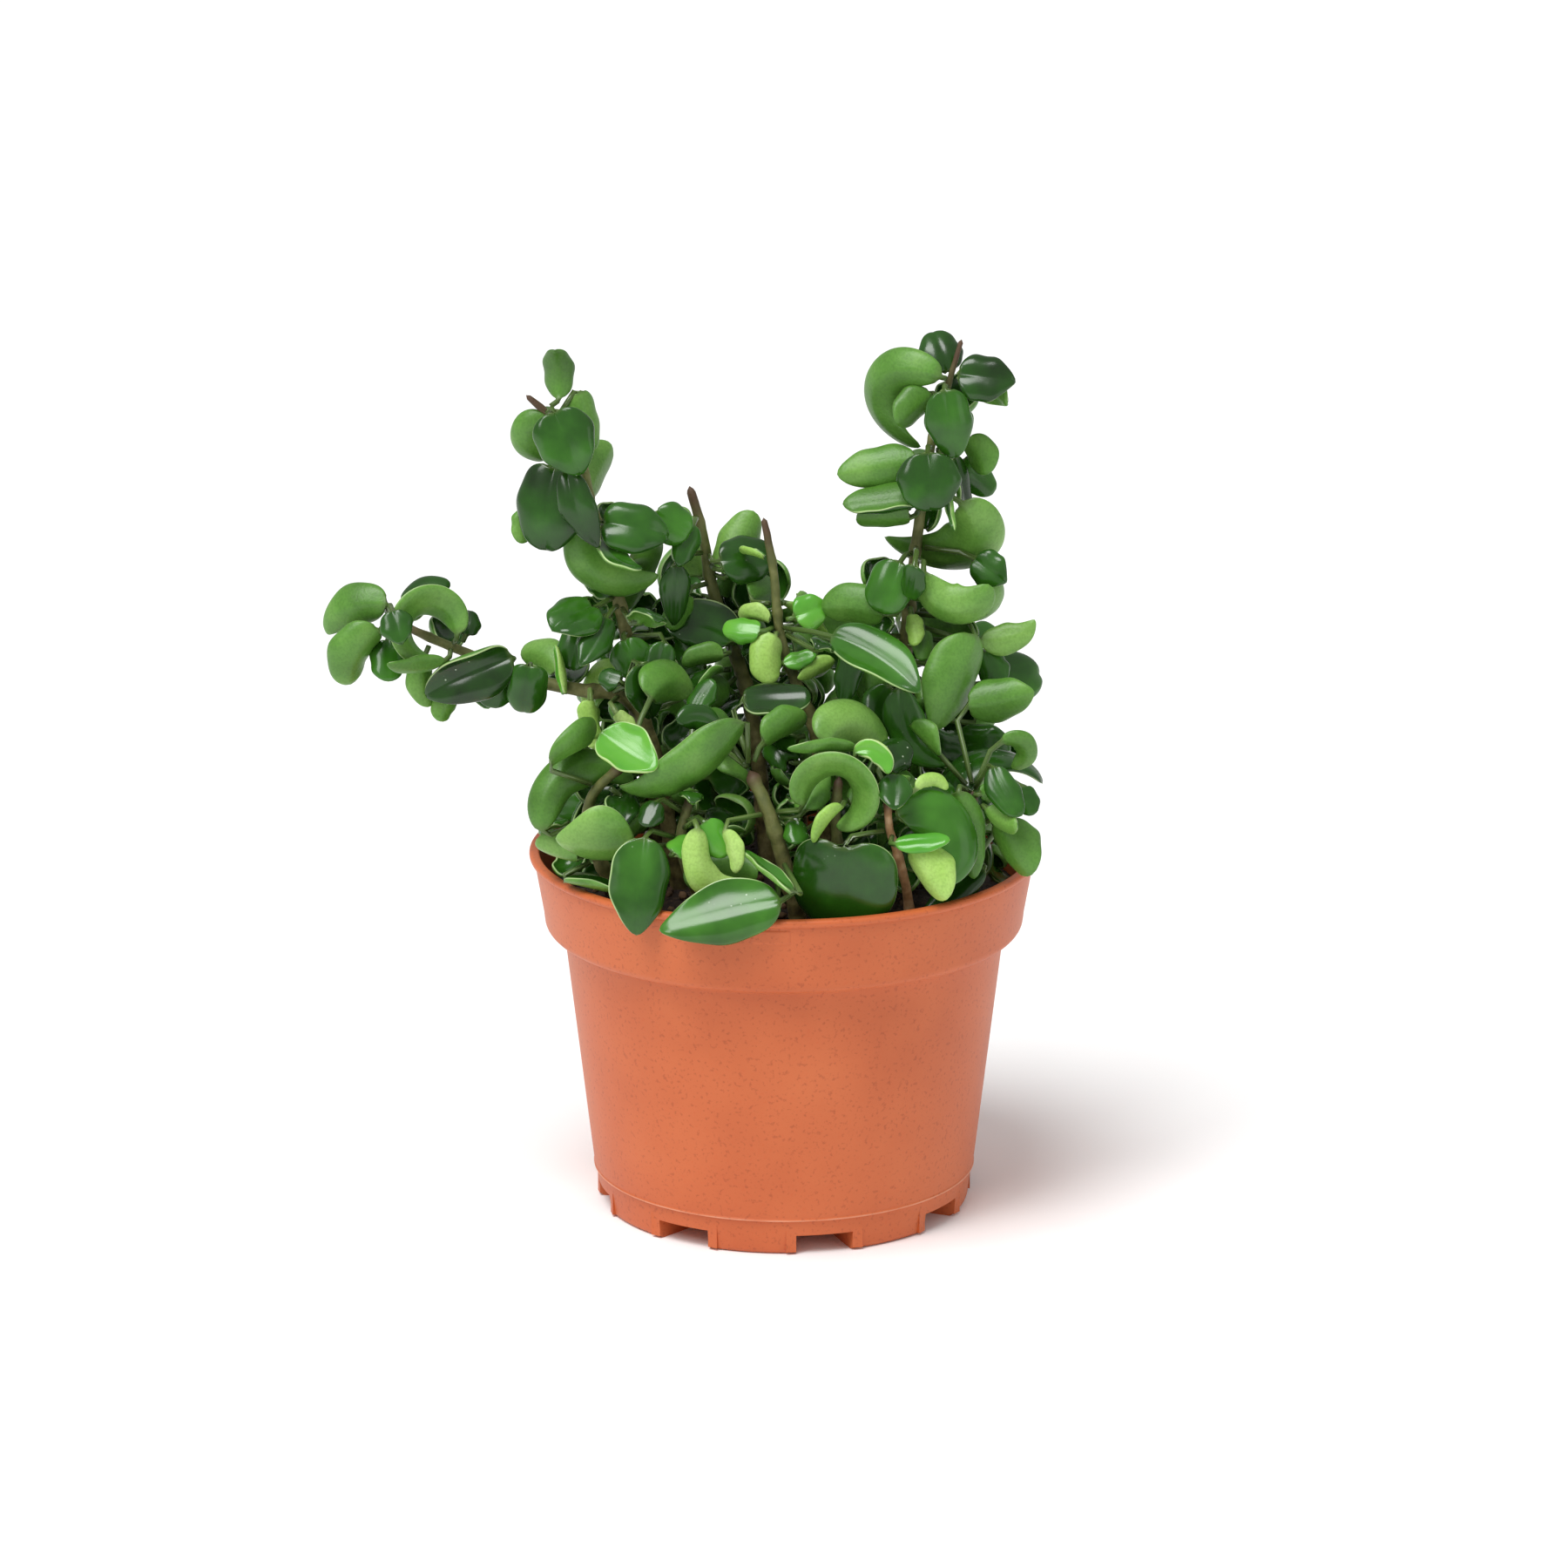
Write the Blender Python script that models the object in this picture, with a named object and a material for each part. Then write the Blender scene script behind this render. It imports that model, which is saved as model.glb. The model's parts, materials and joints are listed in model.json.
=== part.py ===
"""A potted Hindu rope hoya: a plastic nursery pot, its potting mix, the stems and the curled leaves.

The origin is the middle of the pot's flat underside, +Z is up and -Y is the front.
"""

import itertools
import math

import bmesh
import bpy
import numpy as np
from mathutils.bvhtree import BVHTree

MM = 0.001

# Pot: a thin moulded shell with a deep rim band, and a foot cut by eight drainage channels.
POT_HEIGHT = 109 * MM
RIM_RADIUS = 76 * MM
LIP_HEIGHT = 2.2 * MM
LIP_OVERHANG = 1.5 * MM
BAND_HEIGHT = 24 * MM
BAND_TAPER = 3 * MM
BAND_STEP = 5.6 * MM
BODY_TAPER = 10 * MM
WALL = 1.6 * MM
SEAM_HEIGHT = 11 * MM
SEAM_STEP = 0.6 * MM
CHANNELS = 8
CHANNEL_TURN = math.radians(-77.5)
CHANNEL_HEIGHT = 6 * MM
CHANNEL_START = 34 * MM
CHANNEL_WIDTHS = (10 * MM, 20 * MM)
DRAIN_RADIUS = 3 * MM
POT_SEGMENTS = 64
ROUNDING = 0.3

# Potting mix.
SOIL_BELOW_RIM = 14 * MM
SOIL_DOME = 3 * MM
SOIL_RINGS = 4
CLEARANCE = 0.4 * MM
HOLE_DEEPER = 0.2
HOLE_ABOVE = 6 * MM

# Stems and leaves. The plant was set out for a pot of these two sizes and follows the pot.
PLANTED_HEIGHT = 109 * MM
PLANTED_RADIUS = 76 * MM
STEM_SCALE = 1.0
STEM_SIDES = 8
FIRST_SIDE = (0.31, 0.95, 0.05)
LEAF_SCALE = 1.0
LEAF_THICKNESS = 1.5 * MM
PLUMP = 1.16
FOLD_GAIN = 1.5
CURL_GAIN = 1.2
POINT_TAPER = 0.45
WIDEST_POWER = 0.85
FULLNESS_POWER = 0.55
LOBE_GAIN = 4.2
MARGIN_ROLL = math.radians(48)
OPEN_FACING = 0.3
OPEN_TURN = math.radians(20)
OPEN_FOLD = math.radians(12)
SIDE_LEAN = 0.3
STALK_RADIUS = 0.8 * MM
LONGEST_STALK = 26 * MM
FINE_STEPS = 48
FINE_HALF = 12
BLADE_STATIONS = (0, 5, 11, 17, 24, 30, 36, 42, 46)
BLADE_COLUMNS = (-12, -7, 0, 7, 12)
STALK_STATIONS = 3
SETTLE_ROUND = 10
SETTLE_TURN = math.radians(3)
SETTLE_SHIFT = 0.5 * MM
SETTLE_SHRINK = 0.018

TERRACOTTA = (0.62, 0.19, 0.085, 1)
MIX_BROWN = (0.05, 0.032, 0.02, 1)
BARK = (0.21, 0.135, 0.07, 1)
LEAF_GREEN = (0.035, 0.16, 0.035, 1)
LIME_GREEN = (0.16, 0.36, 0.05, 1)

# Stems: the points that each passes through as (right, back, height) and its radius at the soil
# and at its tip, in millimetres.
STEMS = {
    "stem_left_low": ([(-30, -4, 88), (-33, -5, 108), (-38, -6, 138), (-46, -6, 156), (-60, -6, 159),
                       (-70, -6, 161), (-80, -5, 164), (-92, -4, 169), (-104, -3, 174),
                       (-117, -2, 180)], 2.7, 1.1),
    "stem_left_tall": ([(-34, 10, 88), (-38, 9, 112), (-43, 7, 140), (-46, 6, 168), (-49, 5, 184),
                        (-52, 5, 199), (-57, 5, 213), (-59, 5, 224), (-65, 4, 236),
                        (-75.5, 3, 246)], 2.6, 0.9),
    "stem_mid_bare": ([(-4, 14, 88), (-6, 16, 112), (-9, 18, 142), (-14, 18, 162), (-19, 18, 176),
                       (-22, 18, 187), (-24, 18, 200), (-28, 18, 215)], 2.7, 1.3),
    "stem_mid_young": ([(14, 2, 88), (12, 1, 118), (9, -1, 146), (4, -1, 159), (-1, -1, 174),
                        (-3, -1, 193), (-5, -1, 205), (-6, -1, 210)], 2.2, 0.9),
    "stem_right_tall": ([(33, 8, 88), (34, 8, 112), (36, 8, 140), (36, 7, 165), (37, 6, 180),
                         (39, 6, 200), (42, 6, 222), (44.5, 6, 237), (48, 6, 248),
                         (52, 6, 262)], 2.9, 0.7),
    "stem_front_woody": ([(6, -40, 88), (3, -46, 106), (-1, -48, 122), (-5, -48, 135),
                          (-10, -44, 145)], 2.7, 1.8),
    "stem_front_stub": ([(38, -40, 88), (36, -46, 108), (33, -51, 122), (30.5, -52, 130),
                         (30, -52, 139)], 1.5, 1.1),
    "stem_left_short": ([(-44, -28, 88), (-50, -35, 106), (-56, -38, 122), (-56, -40, 136),
                         (-46, -42, 147)], 2.3, 1.3),
    "stem_front_left": ([(-22, -34, 88), (-24, -42, 104), (-28, -47, 116), (-30, -48, 126),
                         (-27, -44, 138)], 2.3, 1.3),
    "stem_front_middle": ([(17, -30, 88), (17, -36, 104), (16, -41, 118), (15, -43, 131),
                           (16, -40, 142)], 2.3, 1.3),
    "stem_right_short": ([(50, -28, 88), (54, -33, 106), (57, -36, 120), (56, -36, 128),
                          (55, -34, 136)], 2.3, 1.3),
    "stem_back": ([(6, 44, 88), (4, 47, 112), (0, 48, 134), (-6, 47, 154), (-8, 45, 168)], 2.5, 1.2),
}

LEAVES = []


def leaf(name, base, grow, face, size, **shape):
    """Adds one leaf: its blade's base in millimetres, two directions and (length, width).

    grow is the way that the midrib sets out and face the way that the glossy side looks, each a
    compass turn (0 right, 90 back, 180 left, 270 front) and a rise, in degrees. shape gives, in
    degrees, bend (the midrib's curl to the glossy side, over equal stretches), sway (its curve to
    the right), twist, curl (each half's roll to the glossy side), fold, and lobes (how far a
    heart-shaped base reaches back, in millimetres), point (0 round to 1 sharp) and young.
    """
    LEAVES.append(dict(name="leaf_" + name, base=base, grow=grow, face=face, size=size, **shape))

# The tall vine on the left.
leaf("left_tall_1", (-66, 4, 245), (150, 86), (85, -10), (15, 12), bend=-20, fold=28)
leaf("left_tall_2", (-67, -6, 243), (325, -62), (262, 25), (20, 18), bend=(0, -25), fold=25,
     curl=(-50, -50), lobes=1, point=1)
leaf("left_tall_3", (-67, 2, 243), (190, 10), (75, 10), (25, 14), bend=(20, 20, 20), sway=(60, 60, 40),
     curl=(35, 35))
leaf("left_tall_4", (-59, 8, 214), (50, 50), (130, -30), (21, 15), bend=20, sway=-20, curl=(30, 30))
leaf("left_tall_5", (-67, 0, 225), (240, -70), (250, 20), (25, 21), bend=(-5, -25), fold=15,
     curl=(-45, -40), lobes=2)
leaf("left_tall_7", (-53, -4, 209), (350, -5), (275, 30), (20, 16), bend=(-10, -35), fold=25,
     curl=(-60, -50), lobes=1, point=1)
leaf("left_tall_8", (-62, 0, 209), (262, -86), (70, 5), (38, 15), bend=(12, 12, 12), sway=(45, 45, 30),
     curl=(40, 40), point=1)
leaf("left_tall_9", (-58, -7, 190), (215, -40), (262, 15), (19, 19), bend=-15, fold=20, curl=(-45, -50),
     lobes=1)
leaf("left_tall_11", (-45, 0, 197), (20, 20), (100, 20), (37, 15), bend=10, sway=(-100, -10, 0),
     curl=(25, 25), point=0.3)
# The low vine that leans out to the left.
leaf("left_low_1", (-117, -5, 185), (178, 8), (85, -30), (26, 15), bend=(15, 20, 25), sway=(20, 25, 25),
     curl=(30, 30), point=1)
leaf("left_low_2", (-119, -9, 178), (205, -35), (85, 15), (22, 17), bend=25, sway=(20, 30, 30),
     curl=(45, 45))
leaf("left_low_4", (-96, -9, 177), (80, 75), (45, 0), (38, 12), bend=(-60, -70, -60), sway=(60, 70, 60))
leaf("left_low_5", (-80, -10, 170), (194, -18), (272, 25), (29, 17), bend=(-10, -30), fold=12,
     curl=(-40, 60), point=1)
leaf("left_low_7", (-76, -12, 169.5), (275, -82), (272, 18), (17, 14), bend=(-20, -40), fold=10,
     curl=(-60, -60), lobes=1)
# The bare twig and the young twig in the middle.
leaf("mid_bare_1", (-27, 14, 205), (130, 50), (80, -30), (18, 12), bend=20, sway=(40, 50), curl=(30, 30))
leaf("mid_bare_2", (-20, 14, 190), (72, 78), (85, -10), (24, 18), bend=15, curl=(45, 45))
leaf("mid_bare_3", (-38, 4, 210), (340, -25), (270, 20), (12, 13), bend=-30, fold=10, curl=(-50, -50))
# The tall vine on the right.
leaf("right_tall_1", (46, 3, 251.5), (180, 27), (90, -20), (50, 15), bend=(30, 30, 20),
     sway=(50, 80, 60), curl=(30, 30), point=0.6)
leaf("right_tall_2", (48, 8, 252), (130, 65), (280, 20), (14, 13), bend=-40, fold=10, curl=(-45, -45))
leaf("right_tall_3", (51, 3, 252), (355, -5), (278, 30), (17, 15), bend=-5, fold=22, curl=(-60, -50),
     point=1)
leaf("right_tall_4", (47, -3, 249), (305, -72), (278, 10), (21, 15), bend=(-10, -25), fold=12,
     curl=(-60, -55), point=1)
leaf("right_tall_5", (39, 1, 227), (188, -8), (85, -35), (24, 15), bend=20, curl=(35, 30), point=0.6)
leaf("right_tall_6", (42, -7, 231), (275, -70), (265, 15), (17, 18), bend=(-5, -15), fold=20,
     curl=(-45, -45))
leaf("right_tall_7", (41, -5, 220), (182, -3), (92, -45), (25, 15), bend=12, curl=(45, -80), point=0.8)
leaf("right_tall_9", (52, -3, 215), (0, -45), (95, -10), (52, 22), bend=(20, 20, 15),
     sway=(-70, -60, -25), curl=(40, 30), point=1)
leaf("right_tall_10", (53, -4, 223), (235, -57), (275, 15), (29, 13), bend=-5, fold=10, curl=(-35, 30),
     point=1)
leaf("right_tall_11", (34, -9, 198.5), (225, -55), (262, 20), (16, 16), bend=-25, fold=10, curl=(-65, -60))
leaf("right_tall_13", (14, -20, 179), (335, -10), (272, 35), (34, 16), sway=(15, 15), fold=12,
     curl=(-30, 15), point=1)
leaf("right_tall_14", (56, -14, 178), (240, -58), (95, 15), (31, 21), bend=(10, 20), curl=(25, 25),
     point=0.7)
leaf("right_tall_15", (58, -6, 174), (0, 0), (90, -20), (18, 9), bend=-10, sway=(10, 50), fold=10, point=1)
leaf("right_low_1", (54, -20, 158), (350, 8), (90, -20), (20, 17), bend=15, sway=10, curl=(30, 60), point=1)
# The mound over the rim.
leaf("mound_left_1", (-69, -46, 127), (160, 84), (53, 0), (46, 15), bend=(30, 30, 30),
     sway=(-40, -50, -40), curl=(35, 35))
leaf("mound_left_4", (-43, -52, 124), (183, -3), (80, 15), (24, 25), bend=(10, 20), curl=(15, 15), point=1)
leaf("mound_left_5", (-41, -61, 131), (262, -74), (255, 20), (30, 18), bend=(-10, -10), fold=8,
     curl=(-55, 15), point=0.8)
leaf("mound_left_6", (-25, -62, 133), (262, -75), (88, 20), (30, 10), bend=10, sway=(10, 60, 50),
     curl=(30, 30), young=1)
leaf("mound_front_1", (-1, -75, 115), (186, -10), (268, 45), (36, 18), bend=(-5, -5), curl=(-50, 10),
     point=1)
leaf("mound_front_2", (17, -60, 126.5), (272, -76), (270, 18), (29, 33), bend=(-10, -15), fold=6,
     curl=(-24, -24), lobes=4)
leaf("mound_front_3", (7, -55, 136), (100, 80), (135, 0), (46, 14), bend=(-60, -70, -60),
     sway=(-60, -70, -60))
leaf("mound_right_2", (33, -54, 134), (20, 30), (268, 20), (34, 18), bend=-15, sway=(60, 70, 30), fold=5,
     curl=(-40, -45))
leaf("mound_right_3", (51, -47, 138), (292, -75), (88, 5), (29, 13), bend=5, curl=(20, 25), point=0.7)
leaf("mound_right_4", (62, -42, 129), (300, -50), (85, 15), (19, 19), bend=(20, 20), curl=(55, 55))
leaf("mound_right_5", (48, -34, 131), (100, 80), (230, 20), (50, 17), bend=(-35, -45, -45),
     sway=(25, 35, 35), curl=(-20, -20))
leaf("mound_centre_3", (12, -44, 153), (50, 50), (88, 10), (29, 18), bend=15, sway=(-40, -50, -20),
     curl=(40, 40))
leaf("mound_centre_4", (-39, -30, 163), (50, 45), (88, 15), (22, 16), bend=20, sway=(-50, -60),
     curl=(40, 40))




def compass(turn, rise):
    """The unit vector of a compass turn and a rise in degrees."""
    turn, rise = math.radians(turn), math.radians(rise)
    return np.array([math.cos(rise) * math.cos(turn), math.cos(rise) * math.sin(turn), math.sin(rise)])


def unit(vector):
    return vector / np.linalg.norm(vector)


def turned(vector, axis, angle):
    """vector turned about the unit axis by angle."""
    along = axis * np.dot(axis, vector)
    return along + (vector - along) * math.cos(angle) + np.cross(axis, vector) * math.sin(angle)


def planted(point):
    """A place in the plant's tables, in metres, spread and lifted with the pot."""
    spread = RIM_RADIUS / PLANTED_RADIUS
    x, y, z = (value * MM for value in point)
    return np.array([x * spread, y * spread, z + POT_HEIGHT - PLANTED_HEIGHT])


def smooth_path(points, steps):
    """Catmull-Rom through points, with steps stretches between each two of them."""
    ends = np.vstack([2 * points[0] - points[1], points, 2 * points[-1] - points[-2]])
    share = np.linspace(0, 1, steps, endpoint=False)[:, None]
    parts = []
    for before, start, end, after in zip(ends, ends[1:], ends[2:], ends[3:]):
        bow = (2 * before - 5 * start + 4 * end - after) * share**2
        hook = (3 * start - before - 3 * end + after) * share**3
        parts.append(start + 0.5 * ((end - before) * share + bow + hook))
    return np.vstack(parts + [points[-1:]])


def as_object(name, bm, colour, roughness):
    """Closes bm into an object of its own with its own material."""
    bmesh.ops.recalc_face_normals(bm, faces=bm.faces)
    bmesh.ops.triangulate(bm, faces=bm.faces)
    if bm.calc_volume(signed=True) < 0:
        bmesh.ops.reverse_faces(bm, faces=bm.faces)
    mesh = bpy.data.meshes.new(name)
    bm.to_mesh(mesh)
    bm.free()
    mesh.shade_smooth()
    mesh.set_sharp_from_angle(angle=math.radians(40))
    material = bpy.data.materials.new(name)
    material.use_nodes = True
    shader = material.node_tree.nodes["Principled BSDF"]
    shader.inputs["Base Color"].default_value = colour
    shader.inputs["Roughness"].default_value = roughness
    mesh.materials.append(material)
    made = bpy.data.objects.new(name, mesh)
    bpy.context.collection.objects.link(made)
    return made


def loft(rings, tip=None):
    """A closed solid through rings of as many points each, ending in a cap or at the point tip."""
    bm = bmesh.new()
    rows = [[bm.verts.new(point) for point in ring] for ring in rings]
    for lower, upper in zip(rows, rows[1:]):
        for side in range(len(lower)):
            nxt = (side + 1) % len(lower)
            bm.faces.new((lower[side], lower[nxt], upper[nxt], upper[side]))
    bm.faces.new(rows[0][::-1])
    if tip is None:
        bm.faces.new(rows[-1])
    else:
        end = bm.verts.new(tip)
        for side in range(len(rows[-1])):
            bm.faces.new((rows[-1][side], rows[-1][(side + 1) % len(rows[-1])], end))
    return bm


def turned_solid(profile, segments):
    """The solid of a closed profile of (radius, height) turned about Z; a radius of 0 is a pole."""
    bm = bmesh.new()
    rows = []
    for radius, height in profile:
        if radius == 0:
            rows.append([bm.verts.new((0, 0, height))] * segments)
            continue
        angles = [2 * math.pi * step / segments for step in range(segments)]
        rows.append([bm.verts.new((radius * math.cos(a), radius * math.sin(a), height)) for a in angles])
    for lower, upper in zip(rows, rows[1:] + rows[:1]):
        for side in range(segments):
            nxt = (side + 1) % segments
            corners = [lower[side], lower[nxt], upper[nxt], upper[side]]
            unique = list(dict.fromkeys(corners))
            if len(unique) > 2:
                bm.faces.new(unique)
    return bm


# ---- pot ----

def body_radius(height):
    """The outer radius of the pot's plain wall, below its band."""
    top = POT_HEIGHT - BAND_HEIGHT
    foot = RIM_RADIUS - LIP_OVERHANG - BAND_TAPER - BAND_STEP - BODY_TAPER
    return foot + BODY_TAPER * height / top


def pot_profile():
    """(radius, height) of the shell, up the outside and down the inside."""
    band_top = RIM_RADIUS - LIP_OVERHANG
    band_foot = band_top - BAND_TAPER
    step = POT_HEIGHT - BAND_HEIGHT
    lip = POT_HEIGHT - LIP_HEIGHT
    soft = 2 * WALL
    outside = [(0, 0), (body_radius(0) - WALL, 0), (body_radius(0) - SEAM_STEP / 2, WALL / 2),
               (body_radius(SEAM_HEIGHT) - SEAM_STEP, SEAM_HEIGHT - SEAM_STEP),
               (body_radius(SEAM_HEIGHT), SEAM_HEIGHT), (body_radius(step - soft), step - soft),
               (band_foot - soft, step), (band_foot - ROUNDING * soft, step + ROUNDING * soft),
               (band_foot, step + soft), (band_top, lip), (RIM_RADIUS - ROUNDING * LIP_OVERHANG, lip),
               (RIM_RADIUS, lip + LIP_HEIGHT / 2), (RIM_RADIUS - LIP_OVERHANG / 2, POT_HEIGHT)]
    inside = [(inner_radius(POT_HEIGHT), POT_HEIGHT), (inner_radius(step + soft), step + soft),
              (inner_radius(step), step), (inner_radius(WALL), WALL), (0, WALL)]
    return outside + inside


def inner_radius(height):
    """The pot's inner radius: a straight liner to the step, and the band above it."""
    step = POT_HEIGHT - BAND_HEIGHT
    if height <= step:
        return body_radius(height) - WALL
    band_top = RIM_RADIUS - LIP_OVERHANG - WALL
    share = min(1, (height - step) / (2 * WALL))
    start = body_radius(step) - WALL
    foot = RIM_RADIUS - LIP_OVERHANG - BAND_TAPER - WALL
    if share < 1:
        return start + (foot - start) * share
    rise = (height - step - 2 * WALL) / (BAND_HEIGHT - 2 * WALL)
    return foot + (band_top - foot) * rise


def channel(name, turn, grow, bottom, height, reach):
    """A wedge-shaped block along a drainage channel, wider by grow all round."""
    inner, outer = (width / 2 + grow for width in CHANNEL_WIDTHS)
    start = CHANNEL_START - grow
    outline = [(start, -inner), (reach, -outer), (reach, outer), (start, inner)]
    cosine, sine = math.cos(turn), math.sin(turn)
    rings = [[(x * cosine - y * sine, x * sine + y * cosine, level) for x, y in outline]
             for level in (bottom, bottom + height)]
    made = as_object(name, loft(rings), TERRACOTTA, 0.5)
    made.hide_render = True
    made.display_type = "WIRE"
    return made


def cut(target, cutter, operation):
    """Adds an exact Boolean of cutter to target."""
    step = target.modifiers.new(cutter.name, "BOOLEAN")
    step.object = cutter
    step.operation = operation
    step.solver = "EXACT"


def make_pot():
    pot = as_object("pot", turned_solid(pot_profile(), POT_SEGMENTS), TERRACOTTA, 0.5)
    for index in range(CHANNELS):
        turn = CHANNEL_TURN + 2 * math.pi * index / CHANNELS
        top = CHANNEL_HEIGHT + WALL
        cover = channel(f"channel_cover_{index}", turn, WALL, WALL / 2, top - WALL / 2,
                        body_radius(0) - WALL / 2)
        cut(pot, cover, "UNION")
        space = channel(f"channel_space_{index}", turn, 0, -WALL, CHANNEL_HEIGHT + WALL,
                        body_radius(0) + 4 * WALL)
        cut(pot, space, "DIFFERENCE")
        drill = bmesh.new()
        bmesh.ops.create_cone(drill, cap_ends=True, segments=12, radius1=DRAIN_RADIUS,
                              radius2=DRAIN_RADIUS, depth=4 * WALL)
        out = CHANNEL_START + 2 * DRAIN_RADIUS
        bmesh.ops.translate(drill, verts=drill.verts,
                            vec=(out * math.cos(turn), out * math.sin(turn), top))
        hole = as_object(f"drain_{index}", drill, TERRACOTTA, 0.5)
        hole.hide_render = True
        hole.display_type = "WIRE"
        cut(pot, hole, "DIFFERENCE")
    return pot


# ---- potting mix and stems ----

def soil_top(radius):
    """The mix's height at a radius: a low dome."""
    edge = inner_radius(POT_HEIGHT - SOIL_BELOW_RIM)
    return POT_HEIGHT - SOIL_BELOW_RIM + SOIL_DOME * (1 - (radius / edge) ** 2)


def tube_rings(path, radii, sides):
    """Rings of points round a path, each at right angles to it."""
    along = np.gradient(path, axis=0)
    along /= np.linalg.norm(along, axis=1)[:, None]
    across = np.cross(along[0], FIRST_SIDE)
    rings = []
    for point, direction, radius in zip(path, along, radii):
        across = unit(across - direction * np.dot(across, direction))
        other = np.cross(direction, across)
        angles = [2 * math.pi * side / sides for side in range(sides)]
        rings.append([point + radius * (math.cos(a) * across + math.sin(a) * other) for a in angles])
    return rings


def stem_path(name, steps=2):
    """The centre line and the radii of a stem."""
    points, thick, thin = STEMS[name]
    path = smooth_path(np.array([planted(point) for point in points]), steps)
    radii = np.linspace(thick, thin, len(path)) * MM * STEM_SCALE
    return path, radii


def make_soil():
    floor = CHANNEL_HEIGHT + WALL + CLEARANCE
    step = POT_HEIGHT - BAND_HEIGHT
    top = POT_HEIGHT - SOIL_BELOW_RIM
    wall = [(inner_radius(floor) - CLEARANCE, floor), (inner_radius(step) - CLEARANCE, step + CLEARANCE),
            (inner_radius(step + 2 * WALL) - CLEARANCE, step + 2 * WALL + 3 * CLEARANCE)]
    edge = inner_radius(top) - CLEARANCE
    rings = [(edge * (1 - ring / SOIL_RINGS), soil_top(edge * (1 - ring / SOIL_RINGS)))
             for ring in range(SOIL_RINGS + 1)]
    soil = as_object("soil", turned_solid([(0, floor)] + wall + rings, POT_SEGMENTS), MIX_BROWN, 0.95)
    for name in STEMS:
        path, radii = stem_path(name)
        root = path[0] + (path[0] - path[1]) * HOLE_DEEPER
        above = [index for index in range(len(path))
                 if path[index][2] < POT_HEIGHT - SOIL_BELOW_RIM + SOIL_DOME + HOLE_ABOVE]
        bore = np.vstack([[root], path[above], [path[above[-1] + 1]]])
        widths = np.concatenate([radii[:1], radii[above], radii[above[-1] + 1:above[-1] + 2]]) + CLEARANCE
        hole = as_object(name + "_hole", loft(tube_rings(bore, widths, STEM_SIDES)), MIX_BROWN, 0.9)
        hole.hide_render = True
        hole.display_type = "WIRE"
        cut(soil, hole, "DIFFERENCE")
    return soil


def make_stem(name):
    path, radii = stem_path(name)
    return as_object(name, loft(tube_rings(path, radii, STEM_SIDES)), BARK, 0.75)


# ---- leaves ----

def is_open(spec):
    """True for a leaf whose dull side would face the front: it opens, to show both its sides."""
    return compass(*spec["face"])[1] > OPEN_FACING and not spec.get("fold")


def midrib(spec, length, nudge):
    """Points and frames (along, glossy side, right) at even steps along the blade's midrib."""
    along = compass(*spec["grow"])
    glossy = compass(*spec["face"])
    glossy = unit(glossy - along * np.dot(glossy, along))
    right = np.cross(along, glossy)
    if is_open(spec):
        side = right[2] + SIDE_LEAN * right[0] * math.copysign(1, spec["base"][0])
        glossy = turned(glossy, along, math.copysign(OPEN_TURN, side))
    axis, angle, shift = nudge
    along, glossy = turned(along, axis, angle), turned(glossy, axis, angle)
    middles = (np.arange(FINE_STEPS) + 0.5) / FINE_STEPS
    rates = {}
    for key in ("bend", "sway", "twist"):
        given = np.atleast_1d(spec.get(key, 0))
        centres = (np.arange(len(given)) + 0.5) / len(given)
        rates[key] = np.radians(np.interp(middles, centres, given)) * len(given) / FINE_STEPS
    points, frames = [planted(spec["base"]) + shift], [(along, glossy, np.cross(along, glossy))]
    for bend, sway, twist in zip(rates["bend"], rates["sway"], rates["twist"]):
        right = frames[-1][2]
        along, glossy = turned(along, right, bend), turned(glossy, right, bend)
        along = turned(along, glossy, -sway)
        glossy = turned(glossy, along, twist)
        points.append(points[-1] + along * length / FINE_STEPS)
        frames.append((along, glossy, np.cross(along, glossy)))
    return np.array(points), np.array(frames)


def nudge_of(attempt):
    """The small turn (axis, angle), the shift and the scale of a leaf's attempt to find room."""
    rise = 1 - 2 * ((attempt * 0.618) % 1)
    turn = attempt * 2.4
    flat = math.sqrt(1 - rise * rise)
    axis = np.array([flat * math.cos(turn), flat * math.sin(turn), rise])
    aside = np.array([flat * math.sin(turn), rise, flat * math.cos(turn)])
    level = math.ceil(attempt / SETTLE_ROUND)
    return (axis, level * SETTLE_TURN, aside * level * SETTLE_SHIFT), 1 / (1 + level * SETTLE_SHRINK)


def sums(slopes):
    """Running sums along each row of slopes at even steps of reach, by the trapezoid rule."""
    steps = np.cumsum(slopes[:, 1:] + slopes[:, :-1], axis=1) / (2 * FINE_HALF)
    return np.hstack([np.zeros((len(slopes), 1)), steps])


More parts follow.
